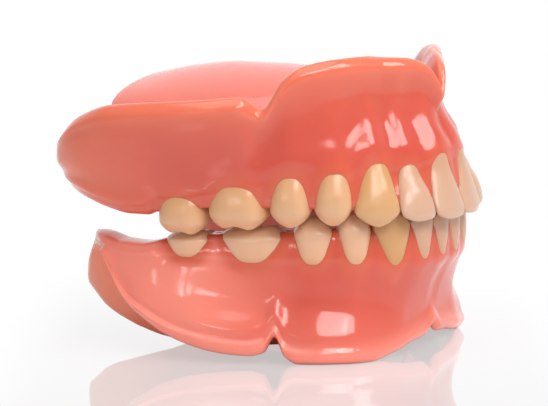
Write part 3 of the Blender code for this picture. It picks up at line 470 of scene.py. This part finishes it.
def upper_sections(line, joints, s, end):
    """Key points of every section of the upper plate: the polished side, then the side that meets the mouth."""
    form = {name: curve(UPPER_STATIONS, row, s * UPPER_STATIONS[-1] / end) for name, row in UPPER_FORM.items()}
    for name in ("border", "trough"):
        form[name] = 30.0 + (form[name] - 30.0) * FLANGE_RISE / 19.0
    ridge = crown_ridge(UPPER_TEETH, UPPER_PAPILLAE, joints, s, True)
    rear = np.clip((s - joints[-1] + 0.4) / 2.4, 0.0, 1.0)
    rear = rear * rear * (3.0 - 2.0 * rear)
    crest = curve(UPPER_REAR["stations"], UPPER_REAR["crest"], s)
    low, middle = form["low_n"], form["trough_n"]
    roll = form["roll"]
    neck = blend(ridge["neck"], crest + 2.2, rear)
    neck = np.minimum(neck, form["border"] - 1.4)
    keel_y = form["keel_y"] * ARCH_DEPTH / 41.2
    keel_z = curve(KEEL_Y, KEEL_Z, form["keel_y"])
    polished = [
        place(line, s, form["border_n"], form["border"]),
        place(line, s, form["border_n"] + roll,
              form["border"] - np.minimum(roll, 0.3 * (form["border"] - neck))),
        place(line, s, form["high_n"], blend(form["border"], neck, 0.36)),
        place(line, s, form["mid_n"], blend(form["border"], neck, 0.62)),
        place(line, s, low, blend(form["border"], neck, 0.85)),
        place(line, s, blend(ridge["out_neck"] + NECK_COVER, low - 0.3, rear), neck),
        place(line, s, blend(ridge["out_peak"] - ridge["shoulder"], low - 1.9, rear),
              blend(ridge["peak"], crest + 0.3, rear)),
        place(line, s, blend(blend(ridge["out_peak"], ridge["in_peak"], 0.5), middle, rear),
              blend(ridge["peak"] + 0.2, crest, rear)),
        place(line, s, blend(ridge["in_peak"] + ridge["shoulder"], middle - 1.6, rear),
              blend(ridge["peak"] + 0.3, crest + 0.4, rear)),
        place(line, s, blend(ridge["in_neck"] - 0.5, form["inner_n"] + 0.2, rear),
              blend(ridge["inner_neck"] - 0.4, crest + 1.8, rear)),
    ]
    palate = place(line, s, form["inner_n"] - blend(0.9, 0.4, rear),
                   blend(ridge["inner_neck"] + 1.2, crest + 2.8, rear))
    keel = np.stack([np.zeros_like(s), keel_y, keel_z], axis=-1)
    squeeze = (KEEL_Y[-1] - PALATE_FRONT) / (KEEL_Y[-1] - KEEL_Y[0])
    over_y = PALATE_FRONT + (form["keel_y"] - KEEL_Y[0]) * squeeze
    over_z = curve(KEEL_Y, KEEL_Z, over_y) + PALATE_THICKNESS
    tissue_keel = np.stack([np.zeros_like(s), over_y * ARCH_DEPTH / 41.2, over_z], axis=-1)
    thick = FLANGE_THICKNESS
    hook = np.minimum(2.4, 0.2 + 0.45 * (form["border"] - form["trough"]))
    wall = place(line, s, form["wall_n"], form["trough"] + hook)
    corner = blend(form["high_n"], low, 0.5) - thick - 1.1
    tissue = [
        place(line, s, form["border_n"], form["border"]),
        place(line, s, form["border_n"] - roll,
              form["border"] - np.minimum(roll, 0.3 * (form["border"] - form["trough"]))),
        place(line, s, form["high_n"] - thick - 0.2, blend(form["border"], form["trough"], 0.42)),
        place(line, s, blend(form["high_n"] - thick - 0.2, corner, 0.6),
              blend(form["border"], form["trough"], 0.66)),
        place(line, s, corner, blend(form["border"], form["trough"], 0.84)),
        place(line, s, blend(corner, middle, 0.50), form["trough"] + 0.15 * hook),
        place(line, s, middle, form["trough"]),
        place(line, s, blend(middle, form["wall_n"], 0.40), form["trough"] + 0.1 * hook),
        place(line, s, blend(middle, form["wall_n"], 0.74), form["trough"] + 0.4 * hook),
        wall,
    ]
    vault = np.interp(s / end, (0.72, 1.0), (0.72, 0.46))
    far_back = np.clip((s / end - 0.72) / 0.28, 0.0, 1.0) ** 1.5
    for share in (0.0, 0.30, 0.66, 1.0):
        bow = math.sin(share * math.pi / 2) ** vault
        if share > 0.0:
            for start, end, rows in ((palate, keel, polished), (wall, tissue_keel, tissue)):
                q = blend(start, end, share)
                q[:, 2] = start[:, 2] + (end[:, 2] - start[:, 2]) * bow
                q[:, 1] += PALATE_LOBE * far_back * math.sin(math.pi * share ** 0.7)
                rows.append(q)
        else:
            polished.append(palate)
            tissue.append(blend(wall, tissue_keel, 0.05))
    return np.array(polished), np.array(tissue)


def lower_sections(line, joints, s, end):
    """Key points of every section of the lower plate, from the cheek border to the tongue border."""
    form = {name: curve(LOWER_STATIONS, row, s * LOWER_STATIONS[-1] / end) for name, row in LOWER_FORM.items()}
    form["trough"] = 16.0 - (16.0 - form["trough"]) * FLANGE_RISE / 19.0
    ridge = crown_ridge(LOWER_TEETH, LOWER_PAPILLAE, joints, s, False)
    rear = np.clip((s - joints[-1] + 0.4) / 2.4, 0.0, 1.0)
    rear = rear * rear * (3.0 - 2.0 * rear)
    crest = curve(LOWER_REAR["stations"], LOWER_REAR["crest"], s)
    low, middle = form["low_n"], form["trough_n"]
    base = form["border"]
    neck = blend(ridge["neck"], np.maximum(crest - 1.6, base + 0.2), rear)
    roll = form["roll"]
    tongue = form["tongue_border"]
    inner = blend(ridge["in_neck"] - 0.5, middle - 2.6, rear)
    inner_z = blend(ridge["inner_neck"] + 0.3, crest - 1.4, rear)
    tail = np.clip((s - 0.82 * end) / (0.18 * end), 0.0, 1.0) ** 1.6

    def run(share, n, z):
        """Point of a section that leans back or forward near the end of the plate."""
        return place(line, s + blend(LAG[0], LAG[1], share) * tail, n, z)

    polished = np.array([
        run(0.0, form["border_n"], base),
        run(0.0, form["border_n"] + roll, base + np.minimum(roll, 0.25 * (neck - base))),
        run(0.0, form["high_n"], blend(base, neck, 0.30)),
        run(0.0, form["mid_n"], blend(base, neck, 0.58)),
        run(0.0, low, blend(base, neck, 0.86)),
        run(0.15, blend(ridge["out_neck"] + NECK_COVER, low - 0.2, rear), neck),
        run(0.35, blend(ridge["out_peak"] - ridge["shoulder"], low - 1.4, rear),
            blend(ridge["peak"], crest - 0.2, rear)),
        run(0.5, blend(blend(ridge["out_peak"], ridge["in_peak"], 0.5), middle, rear),
            blend(ridge["peak"] - 0.2, crest, rear)),
        run(0.6, blend(ridge["in_peak"] + ridge["shoulder"], middle - 1.1, rear),
            blend(ridge["peak"] - 0.3, crest - 0.2, rear)),
        run(0.72, inner, inner_z),
        run(0.88, form["tongue_mid_n"], blend(tongue, inner_z, 0.5)),
        run(1.0, form["tongue_n"] - 0.7 * roll, tongue + np.minimum(roll, 0.25 * (inner_z - tongue))),
        run(1.0, form["tongue_n"], tongue),
    ])
    thick = FLANGE_THICKNESS * blend(0.8, 1.0, np.clip(s / 20.0, 0.0, 1.0))
    trough = form["trough"]
    inside = form["tongue_mid_n"] + 0.78 * thick
    deep = np.clip(0.35 * (trough - base), -0.7, roll)
    far = np.minimum(roll, 0.3 * (trough - tongue))
    corner = form["mid_n"] - thick - 0.1
    tissue = np.array([
        run(0.0, form["border_n"], base),
        run(0.0, form["border_n"] - roll, base + deep),
        run(0.0, form["high_n"] - thick - 0.2, blend(base, trough, 0.36)),
        run(0.0, form["mid_n"] - thick + 0.1, blend(base, trough, 0.66)),
        run(0.0, corner, blend(base, trough, 0.86)),
        run(0.15, blend(corner, middle, 0.40), blend(base, trough, 0.97)),
        run(0.35, blend(corner, middle, 0.75), trough),
        run(0.5, middle, trough),
        run(0.6, blend(middle, inside, 0.45), blend(trough, tongue, 0.02)),
        run(0.72, blend(middle, inside, 0.85), blend(trough, tongue, 0.10)),
        run(0.88, inside, blend(trough, tongue, 0.42)),
        run(1.0, form["tongue_n"] + 0.9 * roll, tongue + far),
        run(1.0, form["tongue_n"], tongue),
    ])
    return polished, tissue


# %% [markdown]
# Over the roots the resin is carved into soft bulges, strongest at the canines, with hollows between them.
# A smooth curve through the key points of each section then makes the skin, so that the borders roll over without
# an edge. One more row of key points makes the fine groove along a border, and one the small step under the gum
# line. The back end of the lower plate stays a little thick and is closed with one face.

# %% Smooth skins
BULGE = {
    "upper": (0.50, 0.50, 0.65, 0.36, 0.26, 0.16, 0.10),
    "lower": (0.0, 0.0, 0.06, 0.10, 0.12, 0.10, 0.08),
}
BEAD = {"upper": 0.05, "lower": 0.42}   # depth of the fine groove above the roll of a border
NECK_SINK = 0.04         # how far the gum lies behind a crown's face at its neck
# Pale band: thin, clearer resin at the borders, and painted light where they face the lamps or the floor.
BAND = {"upper": 2.4, "lower": 2.6}   # how far the pale band at a border reaches, in rows of key points
LEDGE = 0.30             # place of the step under the gum line, as a share of the way to the gum tips
LEDGE_SINK = 0.02        # how far the gum steps back there


def bulges(jaw, s):
    """How far the resin stands out over the roots at places along the arch."""
    joints = ARCHES[jaw]["joints"]
    middles = [(a + b) / 2.0 for a, b in zip(joints[:-1], joints[1:])]
    total = -0.5 * np.interp(s, middles, BULGE[jaw])
    for a, b, rise in zip(joints[:-1], joints[1:], BULGE[jaw]):
        total += rise * np.exp(-((s - (a + b) / 2.0) / (0.30 * (b - a))) ** 2)
    return total


def smooth_chain(keys, steps, closed):
    """Rows of a smooth curve through the key rows of every section."""
    if closed:
        keys = np.concatenate([keys[-2:-1], keys, keys[1:2]])
    else:
        flip = np.array([-1.0, 1.0, 1.0])
        keys = np.concatenate([keys[1:2] * flip, keys, keys[-2:-1] * flip])
    gap = np.sqrt(np.linalg.norm(np.diff(keys, axis=0), axis=2, keepdims=True)) + 0.02
    rows = []
    for i in range(1, len(keys) - 2):
        before, here, after = gap[i - 1], gap[i], gap[i + 1]
        chord = (keys[i + 1] - keys[i]) / here
        lean_a = ((keys[i] - keys[i - 1]) / before * here + chord * before) / (before + here)
        lean_b = (chord * after + (keys[i + 2] - keys[i + 1]) / after * here) / (here + after)
        for u in np.arange(steps) / steps:
            row = (2 * u**3 - 3 * u**2 + 1) * keys[i] + (u**3 - 2 * u**2 + u) * here * lean_a
            rows.append(row + (3 * u**2 - 2 * u**3) * keys[i + 1] + (u**3 - u**2) * here * lean_b)
    rows.append(keys[-2])
    return np.array(rows)


def plate_skin(jaw, sections, columns, steps):
    """Points of half a plate as rows by columns, and for each row how much of it meets the mouth."""
    arch = ARCHES[jaw]
    s = np.linspace(0.0, arch["end"], columns)
    polished, tissue = sections(arch["line"], arch["joints"], s, arch["end"])
    out = bulges(jaw, s)
    fade = np.clip((arch["joints"][-1] + 2.0 - s) / 8.0, 0.0, 1.0)
    nx = np.interp(s, arch["line"]["s"], arch["line"]["nx"])
    ny = np.interp(s, arch["line"]["s"], arch["line"]["ny"])
    for row, share in ((2, 0.35), (3, 1.0), (4, 0.8)):
        polished[row, :, 0] += out * fade * share * nx
        polished[row, :, 1] += out * fade * share * ny
    groove = blend(polished[1], polished[2], 0.42)
    sunk = BEAD[jaw] * np.clip((arch["end"] - s) / 12.0, 0.0, 1.0) * np.clip((s - 22.0) / 8.0, 0.2, 1.0)
    groove[:, 0] -= sunk * nx
    groove[:, 1] -= sunk * ny
    polished = np.insert(polished, 2, groove, axis=0)
    tissue = np.insert(tissue, 2, blend(tissue[1], tissue[2], 0.5), axis=0)
    front = np.clip((arch["joints"][-1] + 1.0 - s) / 2.0, 0.0, 1.0)
    drop = (NECK_COVER + NECK_SINK) * front
    polished[6, :, 0] -= drop * nx
    polished[6, :, 1] -= drop * ny
    ledge = blend(polished[6], polished[7], LEDGE)
    ledge[:, 0] = blend(ledge[:, 0], polished[6, :, 0] - LEDGE_SINK * nx, front)
    ledge[:, 1] = blend(ledge[:, 1], polished[6, :, 1] - LEDGE_SINK * ny, front)
    polished = np.insert(polished, 7, ledge, axis=0)
    tissue = np.insert(tissue, 6, blend(tissue[5], tissue[6], 0.5), axis=0)
    middle = 0.5 * (polished + tissue)
    rest = np.clip((arch["end"] - s) / 5.0, 0.0, 1.0)
    thin = 0.35 if jaw == "lower" else 0.0
    round_end = (thin + (1.0 - thin) * np.sqrt(1.0 - (1.0 - rest) ** 2))[None, :, None]
    polished = middle + (polished - middle) * round_end
    tissue = middle + (tissue - middle) * round_end
    polished[:, 0, 0] = 0.0
    tissue[:, 0, 0] = 0.0
    closed = jaw == "lower"
    chain = np.concatenate([polished[::-1], tissue[1:]])
    mouth = np.concatenate([np.zeros(len(polished)), np.ones(len(tissue) - 1)])
    rows = smooth_chain(chain, steps, closed)
    place_on = np.arange(len(rows)) / steps
    share = np.interp(place_on, np.arange(len(mouth)), mouth)
    edge = np.exp(-((place_on - len(polished) + 1.0) / BAND[jaw]) ** 2)
    if closed:
        rows, share, edge = rows[:-1], share[:-1], edge[:-1]
    return rows, share, edge


def skin_faces(rows, columns, closed):
    """Quads between neighbouring rows and columns, facing out of the resin."""
    faces = []
    for r in range(rows if closed else rows - 1):
        below = (r + 1) % rows
        for c in range(columns - 1):
            face = (r * columns + c, below * columns + c, below * columns + c + 1, r * columns + c + 1)
            faces.append(face if closed else face[::-1])
    if closed:
        faces.append(tuple(r * columns + columns - 1 for r in range(rows)))
    return faces


# %% [markdown]
# Where the resin meets a tooth it is drawn up into a small roll. Each point of the skin is lifted by how near the
# closest tooth is. The pad at the back of the lower plate is smoothed in edit mode once the halves are joined.

# %% Plates with their gum rolls
COLUMNS = {"upper": 210, "lower": 190}   # sections along half a plate
STEPS = 5                # points of the skin from one key row to the next
NECK_TINT = 1.3          # how far from a tooth the gum's neck colour reaches
ROLL_RISE = 0.14         # height of the small roll of gum at a tooth
ROLL_REACH = 0.8         # how far from the tooth it reaches
# Paling towards the back: partly painted light on the rear flanges and on the lower plate, lit from the floor.
PALE_BACK = {"upper": (4.0, 26.0), "lower": (-14.0, 16.0)}   # y where the paling starts, and its length
PAD = (18.0, 26.5)       # from where to where along y the pad of the lower plate is smoothed
PAD_FOOT = 16.8          # and over this height
PAD_PASSES = 12


def make_plate(jaw, sections):
    """One whole plate: half a skin with its gum rolls, mirrored and joined."""
    rows, share, edge = plate_skin(jaw, sections, COLUMNS[jaw], STEPS)
    height, width, _ = rows.shape
    plate = mesh_piece(f"skin_{jaw}_base", rows.reshape(-1, 3), skin_faces(height, width, jaw == "lower"))
    mesh = plate.data
    corners, faces = [], []
    for (of_jaw, hand, name), piece in teeth.items():
        if of_jaw == jaw:
            first = len(corners)
            corners += [v.co.copy() for v in piece.data.vertices]
            faces += [tuple(first + i for i in face.vertices) for face in piece.data.polygons]
    tree = BVHTree.FromPolygons(corners, faces)
    near = np.zeros(len(mesh.vertices))
    mouth = np.repeat(share, width)
    normals = [v.normal.copy() for v in mesh.vertices]
    for i, v in enumerate(mesh.vertices):
        spot, _, _, gap = tree.find_nearest(v.co, 0.004)
        if spot is None or mouth[i] > 0.5:
            continue
        gap /= MM
        near[i] = math.exp(-(gap / NECK_TINT) ** 2)
        lift = ROLL_RISE * math.exp(-(gap / ROLL_REACH) ** 2)
        v.co += normals[i] * lift * MM
        if i % width == 0:
            v.co.x = 0.0
    back = np.array([v.co.y for v in mesh.vertices]) / MM
    start, length = PALE_BACK[jaw]
    reach = (back - start) / length
    reach = np.clip(reach, 0.0, 1.0) * 0.9 if jaw == "lower" else np.clip(reach, 0.0, 0.8)
    pale_and_lit = np.maximum(np.repeat(edge, width), reach)
    keep_values(plate, "pale_and_lit", pale_and_lit)
    # The lower plate: a pinker tone, and painted light that stands in for the floor lighting it from below.
    keep_values(plate, "lower_pink_and_lit", np.full(len(mesh.vertices), 1.0 if jaw == "lower" else 0.0))
    keep_values(plate, "near", near)
    keep_values(plate, "mouth", mouth)
    bpy.ops.object.select_all(action="DESELECT")
    bpy.context.view_layer.objects.active = plate
    plate.select_set(True)
    mirror = plate.modifiers.new("mirror", "MIRROR")
    mirror.use_clip = True
    mirror.use_mirror_merge = True
    mirror.merge_threshold = 0.00002
    bpy.ops.object.modifier_apply(modifier="mirror")
    bpy.ops.object.mode_set(mode="EDIT")
    bpy.ops.mesh.select_all(action="SELECT")
    bpy.ops.mesh.remove_doubles(threshold=0.000004)
    bpy.ops.mesh.normals_make_consistent(inside=False)
    bpy.ops.mesh.select_all(action="DESELECT")
    bpy.ops.object.mode_set(mode="OBJECT")
    for v in mesh.vertices:
        v.select = jaw == "lower" and PAD[0] * MM < v.co.y < PAD[1] * MM and v.co.z > PAD_FOOT * MM
    bpy.ops.object.mode_set(mode="EDIT")
    bpy.ops.mesh.vertices_smooth(factor=0.5, repeat=PAD_PASSES)
    bpy.ops.object.mode_set(mode="OBJECT")
    return plate


plates = {"upper": make_plate("upper", upper_sections), "lower": make_plate("lower", lower_sections)}
for jaw, plate in plates.items():
    print(jaw, "plate:", len(plate.data.polygons), "faces")

# %% [markdown]
# ## Joining the frame
#
# Each skin stands for the solid of the same name, and takes its place in the picture.

# %% Pieces in the frame
for jaw, plate in plates.items():
    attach(plate, "root")
    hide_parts(f"{jaw}_base")
for (jaw, hand, name), piece in teeth.items():
    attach(piece, "root")
    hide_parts(f"{jaw}_{hand}_{name}")
    kind = "tooth_front" if "incisor" in name else "tooth_canine" if name == "canine" else "tooth_back"

# %% [markdown]
# ## Materials
#
# Pink denture resin is a slightly clear acrylic: light enters it a little, and a polish gives it a thin gloss.
# The side that meets the mouth is paler, as unpolished resin and with a painted sheen from the lamps above.
# The borders and the back ends are paler as thin, clearer resin and with painted light, and the lower plate
# gets lighter colours still, as painted light from the floor below.

# %% Pink resin
def new_material(name):
    material = bpy.data.materials.new(name)
    material.use_nodes = True
    nodes = material.node_tree.nodes
    return material, nodes, material.node_tree.links, nodes["Principled BSDF"]


def mixed(nodes, links, factor, first, second):
    """A colour mix whose ends are colours or sockets."""
    mix = nodes.new("ShaderNodeMix")
    mix.data_type = "RGBA"
    if hasattr(factor, "links"):
        links.new(factor, mix.inputs[0])
    else:
        mix.inputs[0].default_value = factor
    for socket, value in ((mix.inputs[6], first), (mix.inputs[7], second)):
        if hasattr(value, "links"):
            links.new(value, socket)
        else:
            socket.default_value = (*value, 1.0)
    return mix.outputs[2]


def stored(nodes, name):
    reader = nodes.new("ShaderNodeAttribute")
    reader.attribute_name = name
    return reader.outputs["Fac"]


def noise(nodes, links, scale, detail):
    place_of = nodes.new("ShaderNodeTexCoord")
    cloud = nodes.new("ShaderNodeTexNoise")
    cloud.inputs["Scale"].default_value = scale
    cloud.inputs["Detail"].default_value = detail
    links.new(place_of.outputs["Object"], cloud.inputs["Vector"])
    return cloud.outputs["Fac"]


gum, nodes, links, surface = new_material("pink_resin")
cloudy = mixed(nodes, links, noise(nodes, links, 90.0, 3.0), (0.62, 0.078, 0.050), (0.68, 0.100, 0.064))
# Lower plate's lighter colours: a pinker tone, and painted light from the floor.
band = mixed(nodes, links, stored(nodes, "lower_pink_and_lit"), (0.82, 0.190, 0.102), (0.97, 0.290, 0.215))
# Paler at the borders and back ends: clearer resin there, and painted light.
banded = mixed(nodes, links, stored(nodes, "pale_and_lit"), cloudy, band)
at_neck = mixed(nodes, links, stored(nodes, "near"), banded, (0.70, 0.120, 0.062))
# Mouth side: paler unpolished resin, plus a painted sheen on the palate and painted light in the lower plate's
# shaded tongue side.
inside = mixed(nodes, links, stored(nodes, "lower_pink_and_lit"), (0.84, 0.22, 0.170), (0.97, 0.27, 0.150))
both_sides = mixed(nodes, links, stored(nodes, "mouth"), at_neck, inside)
links.new(both_sides, surface.inputs["Base Color"])
surface.inputs["Roughness"].default_value = 0.13
surface.inputs["IOR"].default_value = 1.49
surface.inputs["Subsurface Weight"].default_value = 0.45
surface.inputs["Subsurface Radius"].default_value = (1.0, 0.35, 0.25)
surface.inputs["Subsurface Scale"].default_value = 0.0022
surface.inputs["Coat Weight"].default_value = 0.30
surface.inputs["Coat Roughness"].default_value = 0.04
for plate in plates.values():
    plate.data.materials.clear()
    plate.data.materials.append(gum)

# %% [markdown]
# Denture teeth are layered resins: darker and yellower at the neck, paler and clearer at the tip. The canines are
# the yellowest. The lower back teeth get a paler copy of the upper back teeth's resin, as painted light.

# %% Tooth resins
SHADES = {
    "front": ((0.62, 0.33, 0.19), (0.66, 0.42, 0.30)),
    "canine": ((0.62, 0.30, 0.10), (0.67, 0.40, 0.20)),
    # The lower back teeth are a paler copy of the upper back teeth's resin: painted light.
    "upper_back": ((0.68, 0.34, 0.15), (0.75, 0.47, 0.28)),
    "lower_back": ((0.76, 0.40, 0.21), (0.82, 0.54, 0.38)),
}
resins = {}
for name, (neck, tip) in SHADES.items():
    resin, nodes, links, surface = new_material(f"tooth_resin_{name}")
    along = mixed(nodes, links, stored(nodes, "crown"), neck, tip)
    cloudy = mixed(nodes, links, noise(nodes, links, 260.0, 2.0), along, tip)
    soft = mixed(nodes, links, 0.25, along, cloudy)
    links.new(soft, surface.inputs["Base Color"])
    surface.inputs["Roughness"].default_value = 0.28
    surface.inputs["IOR"].default_value = 1.5
    surface.inputs["Subsurface Weight"].default_value = 0.30
    surface.inputs["Subsurface Radius"].default_value = (1.0, 0.6, 0.4)
    surface.inputs["Subsurface Scale"].default_value = 0.0015
    surface.inputs["Coat Weight"].default_value = 0.25
    surface.inputs["Coat Roughness"].default_value = 0.1
    resins[name] = resin
for (jaw, hand, name), piece in teeth.items():
    kind = "front" if "incisor" in name else "canine" if name == "canine" else f"{jaw}_back"
    piece.data.materials.append(resins[kind])

# %% [markdown]
# ## The studio
#
# The set stands on a pale glossy floor that keeps its soft shadow and a faint mirror image. Behind and beside the
# set the floor fades to white. The fade is laid out on the floor for the photo's view, so from other sides a grey
# band of floor shows.

# %% Floor
BEHIND = (0.883, 0.469, 0.0)            # directions over the floor
BESIDE = ((0.469, -0.883, 0.0), (-0.469, 0.883, 0.0))
WHITE_BEHIND = (0.030, 0.075)           # where the fade to white starts and ends, in metres
WHITE_BESIDE = (0.036, 0.052)

bpy.ops.mesh.primitive_plane_add(size=6.0, location=(0.0, 0.0, box_before[0].z))
floor = bpy.context.object
floor.name = "floor"
sheet, nodes, links, surface = new_material("floor_paint")
ray = nodes.new("ShaderNodeLightPath")
paint = mixed(nodes, links, ray.outputs["Is Camera Ray"], (0.97, 0.97, 0.97), (0.15, 0.15, 0.15))
links.new(paint, surface.inputs["Base Color"])
surface.inputs["Roughness"].default_value = 0.03
surface.inputs["Specular IOR Level"].default_value = 0.65
glow = mixed(nodes, links, ray.outputs["Is Camera Ray"], (0.0, 0.0, 0.0), (0.50, 0.50, 0.50))
links.new(glow, surface.inputs["Emission Color"])
surface.inputs["Emission Strength"].default_value = 1.0
place_of = nodes.new("ShaderNodeTexCoord")
reaches = []
for direction, (near_end, far_end) in ((BESIDE[0], WHITE_BESIDE), (BEHIND, WHITE_BEHIND),
                                       (BESIDE[1], WHITE_BESIDE)):
    along = nodes.new("ShaderNodeVectorMath")
    along.operation = "DOT_PRODUCT"
    along.inputs[1].default_value = direction
    links.new(place_of.outputs["Object"], along.inputs[0])
    reach = nodes.new("ShaderNodeMapRange")
    reach.interpolation_type = "SMOOTHSTEP"
    reach.inputs["From Min"].default_value = near_end
    reach.inputs["From Max"].default_value = far_end
    links.new(along.outputs["Value"], reach.inputs["Value"])
    reaches.append(reach.outputs["Result"])
edge = reaches[0]
for other in reaches[1:]:
    larger = nodes.new("ShaderNodeMath")
    larger.operation = "MAXIMUM"
    links.new(edge, larger.inputs[0])
    links.new(other, larger.inputs[1])
    edge = larger.outputs[0]
seen_edge = nodes.new("ShaderNodeMath")
seen_edge.operation = "MULTIPLY"
links.new(edge, seen_edge.inputs[0])
links.new(ray.outputs["Is Camera Ray"], seen_edge.inputs[1])
white = nodes.new("ShaderNodeEmission")
cover = nodes.new("ShaderNodeMixShader")
links.new(seen_edge.outputs[0], cover.inputs["Fac"])
links.new(surface.outputs["BSDF"], cover.inputs[1])
links.new(white.outputs["Emission"], cover.inputs[2])
links.new(cover.outputs["Shader"], nodes["Material Output"].inputs["Surface"])
floor.data.materials.append(sheet)

# %% [markdown]
# The backdrop is white for the camera and dimmer for what it lights. In mirrored light it is dimmer too, apart from
# the part behind the set.

# %% Backdrop
world = bpy.data.worlds.new("studio")
bpy.context.scene.world = world
world.use_nodes = True
nodes = world.node_tree.nodes
links = world.node_tree.links
seen = nodes["Background"]
seen.inputs["Color"].default_value = (1.0, 1.0, 1.0, 1.0)
lit = nodes.new("ShaderNodeBackground")
lit.inputs["Color"].default_value = (1.0, 0.985, 0.97, 1.0)
lit.inputs["Strength"].default_value = 0.42
sky = nodes.new("ShaderNodeTexCoord")
facing = nodes.new("ShaderNodeVectorMath")
facing.operation = "DOT_PRODUCT"
facing.inputs[1].default_value = BEHIND
links.new(sky.outputs["Generated"], facing.inputs[0])
fall = nodes.new("ShaderNodeMapRange")
fall.interpolation_type = "SMOOTHSTEP"
fall.inputs["From Min"].default_value = 0.2
fall.inputs["From Max"].default_value = 0.9
fall.inputs["To Min"].default_value = 0.45
links.new(facing.outputs["Value"], fall.inputs["Value"])
ray = nodes.new("ShaderNodeLightPath")
bright = nodes.new("ShaderNodeMath")
bright.operation = "MAXIMUM"
links.new(fall.outputs["Result"], bright.inputs[0])
links.new(ray.outputs["Is Camera Ray"], bright.inputs[1])
links.new(bright.outputs[0], seen.inputs["Strength"])
choose = nodes.new("ShaderNodeMixShader")
sharp = nodes.new("ShaderNodeMath")
sharp.operation = "MAXIMUM"
links.new(ray.outputs["Is Camera Ray"], sharp.inputs[0])
links.new(ray.outputs["Is Glossy Ray"], sharp.inputs[1])
links.new(sharp.outputs[0], choose.inputs["Fac"])
links.new(lit.outputs["Background"], choose.inputs[1])
links.new(seen.outputs["Background"], choose.inputs[2])
links.new(choose.outputs["Shader"], nodes["World Output"].inputs["Surface"])

# %% [markdown]
# ## Camera
#
# It stands where the photographer's camera stood: 62 degrees round to the wearer's right, 8 degrees up and 42 cm
# away. The aim is a little beside the middle, as in the photo.

# %% Camera
turn, rise = math.radians(-62.0), math.radians(8.0)
back = Vector((math.sin(turn) * math.cos(rise), -math.cos(turn) * math.cos(rise), math.sin(rise)))
right = Vector((0.0, 0.0, 1.0)).cross(back).normalized()
up = back.cross(right)
spot = Vector((0.0, -0.00298, 0.024)) + back * 0.42
aim = -back * 2478.0 - right * 38.4 - up * 9.06
camera_data = bpy.data.cameras.new("camera")
camera_data.sensor_width = 36.0
camera_data.lens = 2478.0 / 548.0 * 36.0
camera_data.clip_start = 0.01
camera = bpy.data.objects.new("camera", camera_data)
camera.location = spot
camera.rotation_euler = aim.to_track_quat("-Z", "Y").to_euler()
bpy.context.scene.collection.objects.link(camera)
bpy.context.scene.camera = camera
print("camera at", [round(v, 4) for v in spot], "lens", round(camera_data.lens, 1))


# %% [markdown]
# ## Lights
#
# Soft boxes give the window-like patches on the polished flanges. Each is aimed at the middle of the set.

# %% Soft boxes
def soft_box(name, azimuth, elevation, distance, width, height, power):
    """A white area light at a bearing in degrees and a distance in metres, aimed at the set."""
    a, e = math.radians(azimuth), math.radians(elevation)
    away = Vector((math.sin(a) * math.cos(e), -math.cos(a) * math.cos(e), math.sin(e)))
    light = bpy.data.lights.new(name, "AREA")
    light.shape = "RECTANGLE"
    light.size = width
    light.size_y = height
    light.energy = power
    lamp = bpy.data.objects.new(name, light)
    lamp.location = Vector((0.0, 0.0, 0.025)) + away * distance
    lamp.rotation_euler = (-away).to_track_quat("-Z", "Y").to_euler()
    bpy.context.scene.collection.objects.link(lamp)


soft_box("window", 6.0, 46.0, 0.9, 0.42, 0.34, 2.7)
for pane in range(2):
    soft_box(f"door_{pane}", -45.0 + 17.0 * pane, 40.0, 0.9, 0.25, 0.30, 1.35)
soft_box("overhead", -60.0, 80.0, 1.0, 0.9, 0.9, 3.9)
for pane in range(3):
    soft_box(f"side_{pane}", -96.0 + 7.0 * pane, 22.0, 0.9, 0.06, 0.10, 0.12)

bpy.context.scene.view_settings.view_transform = "Standard"
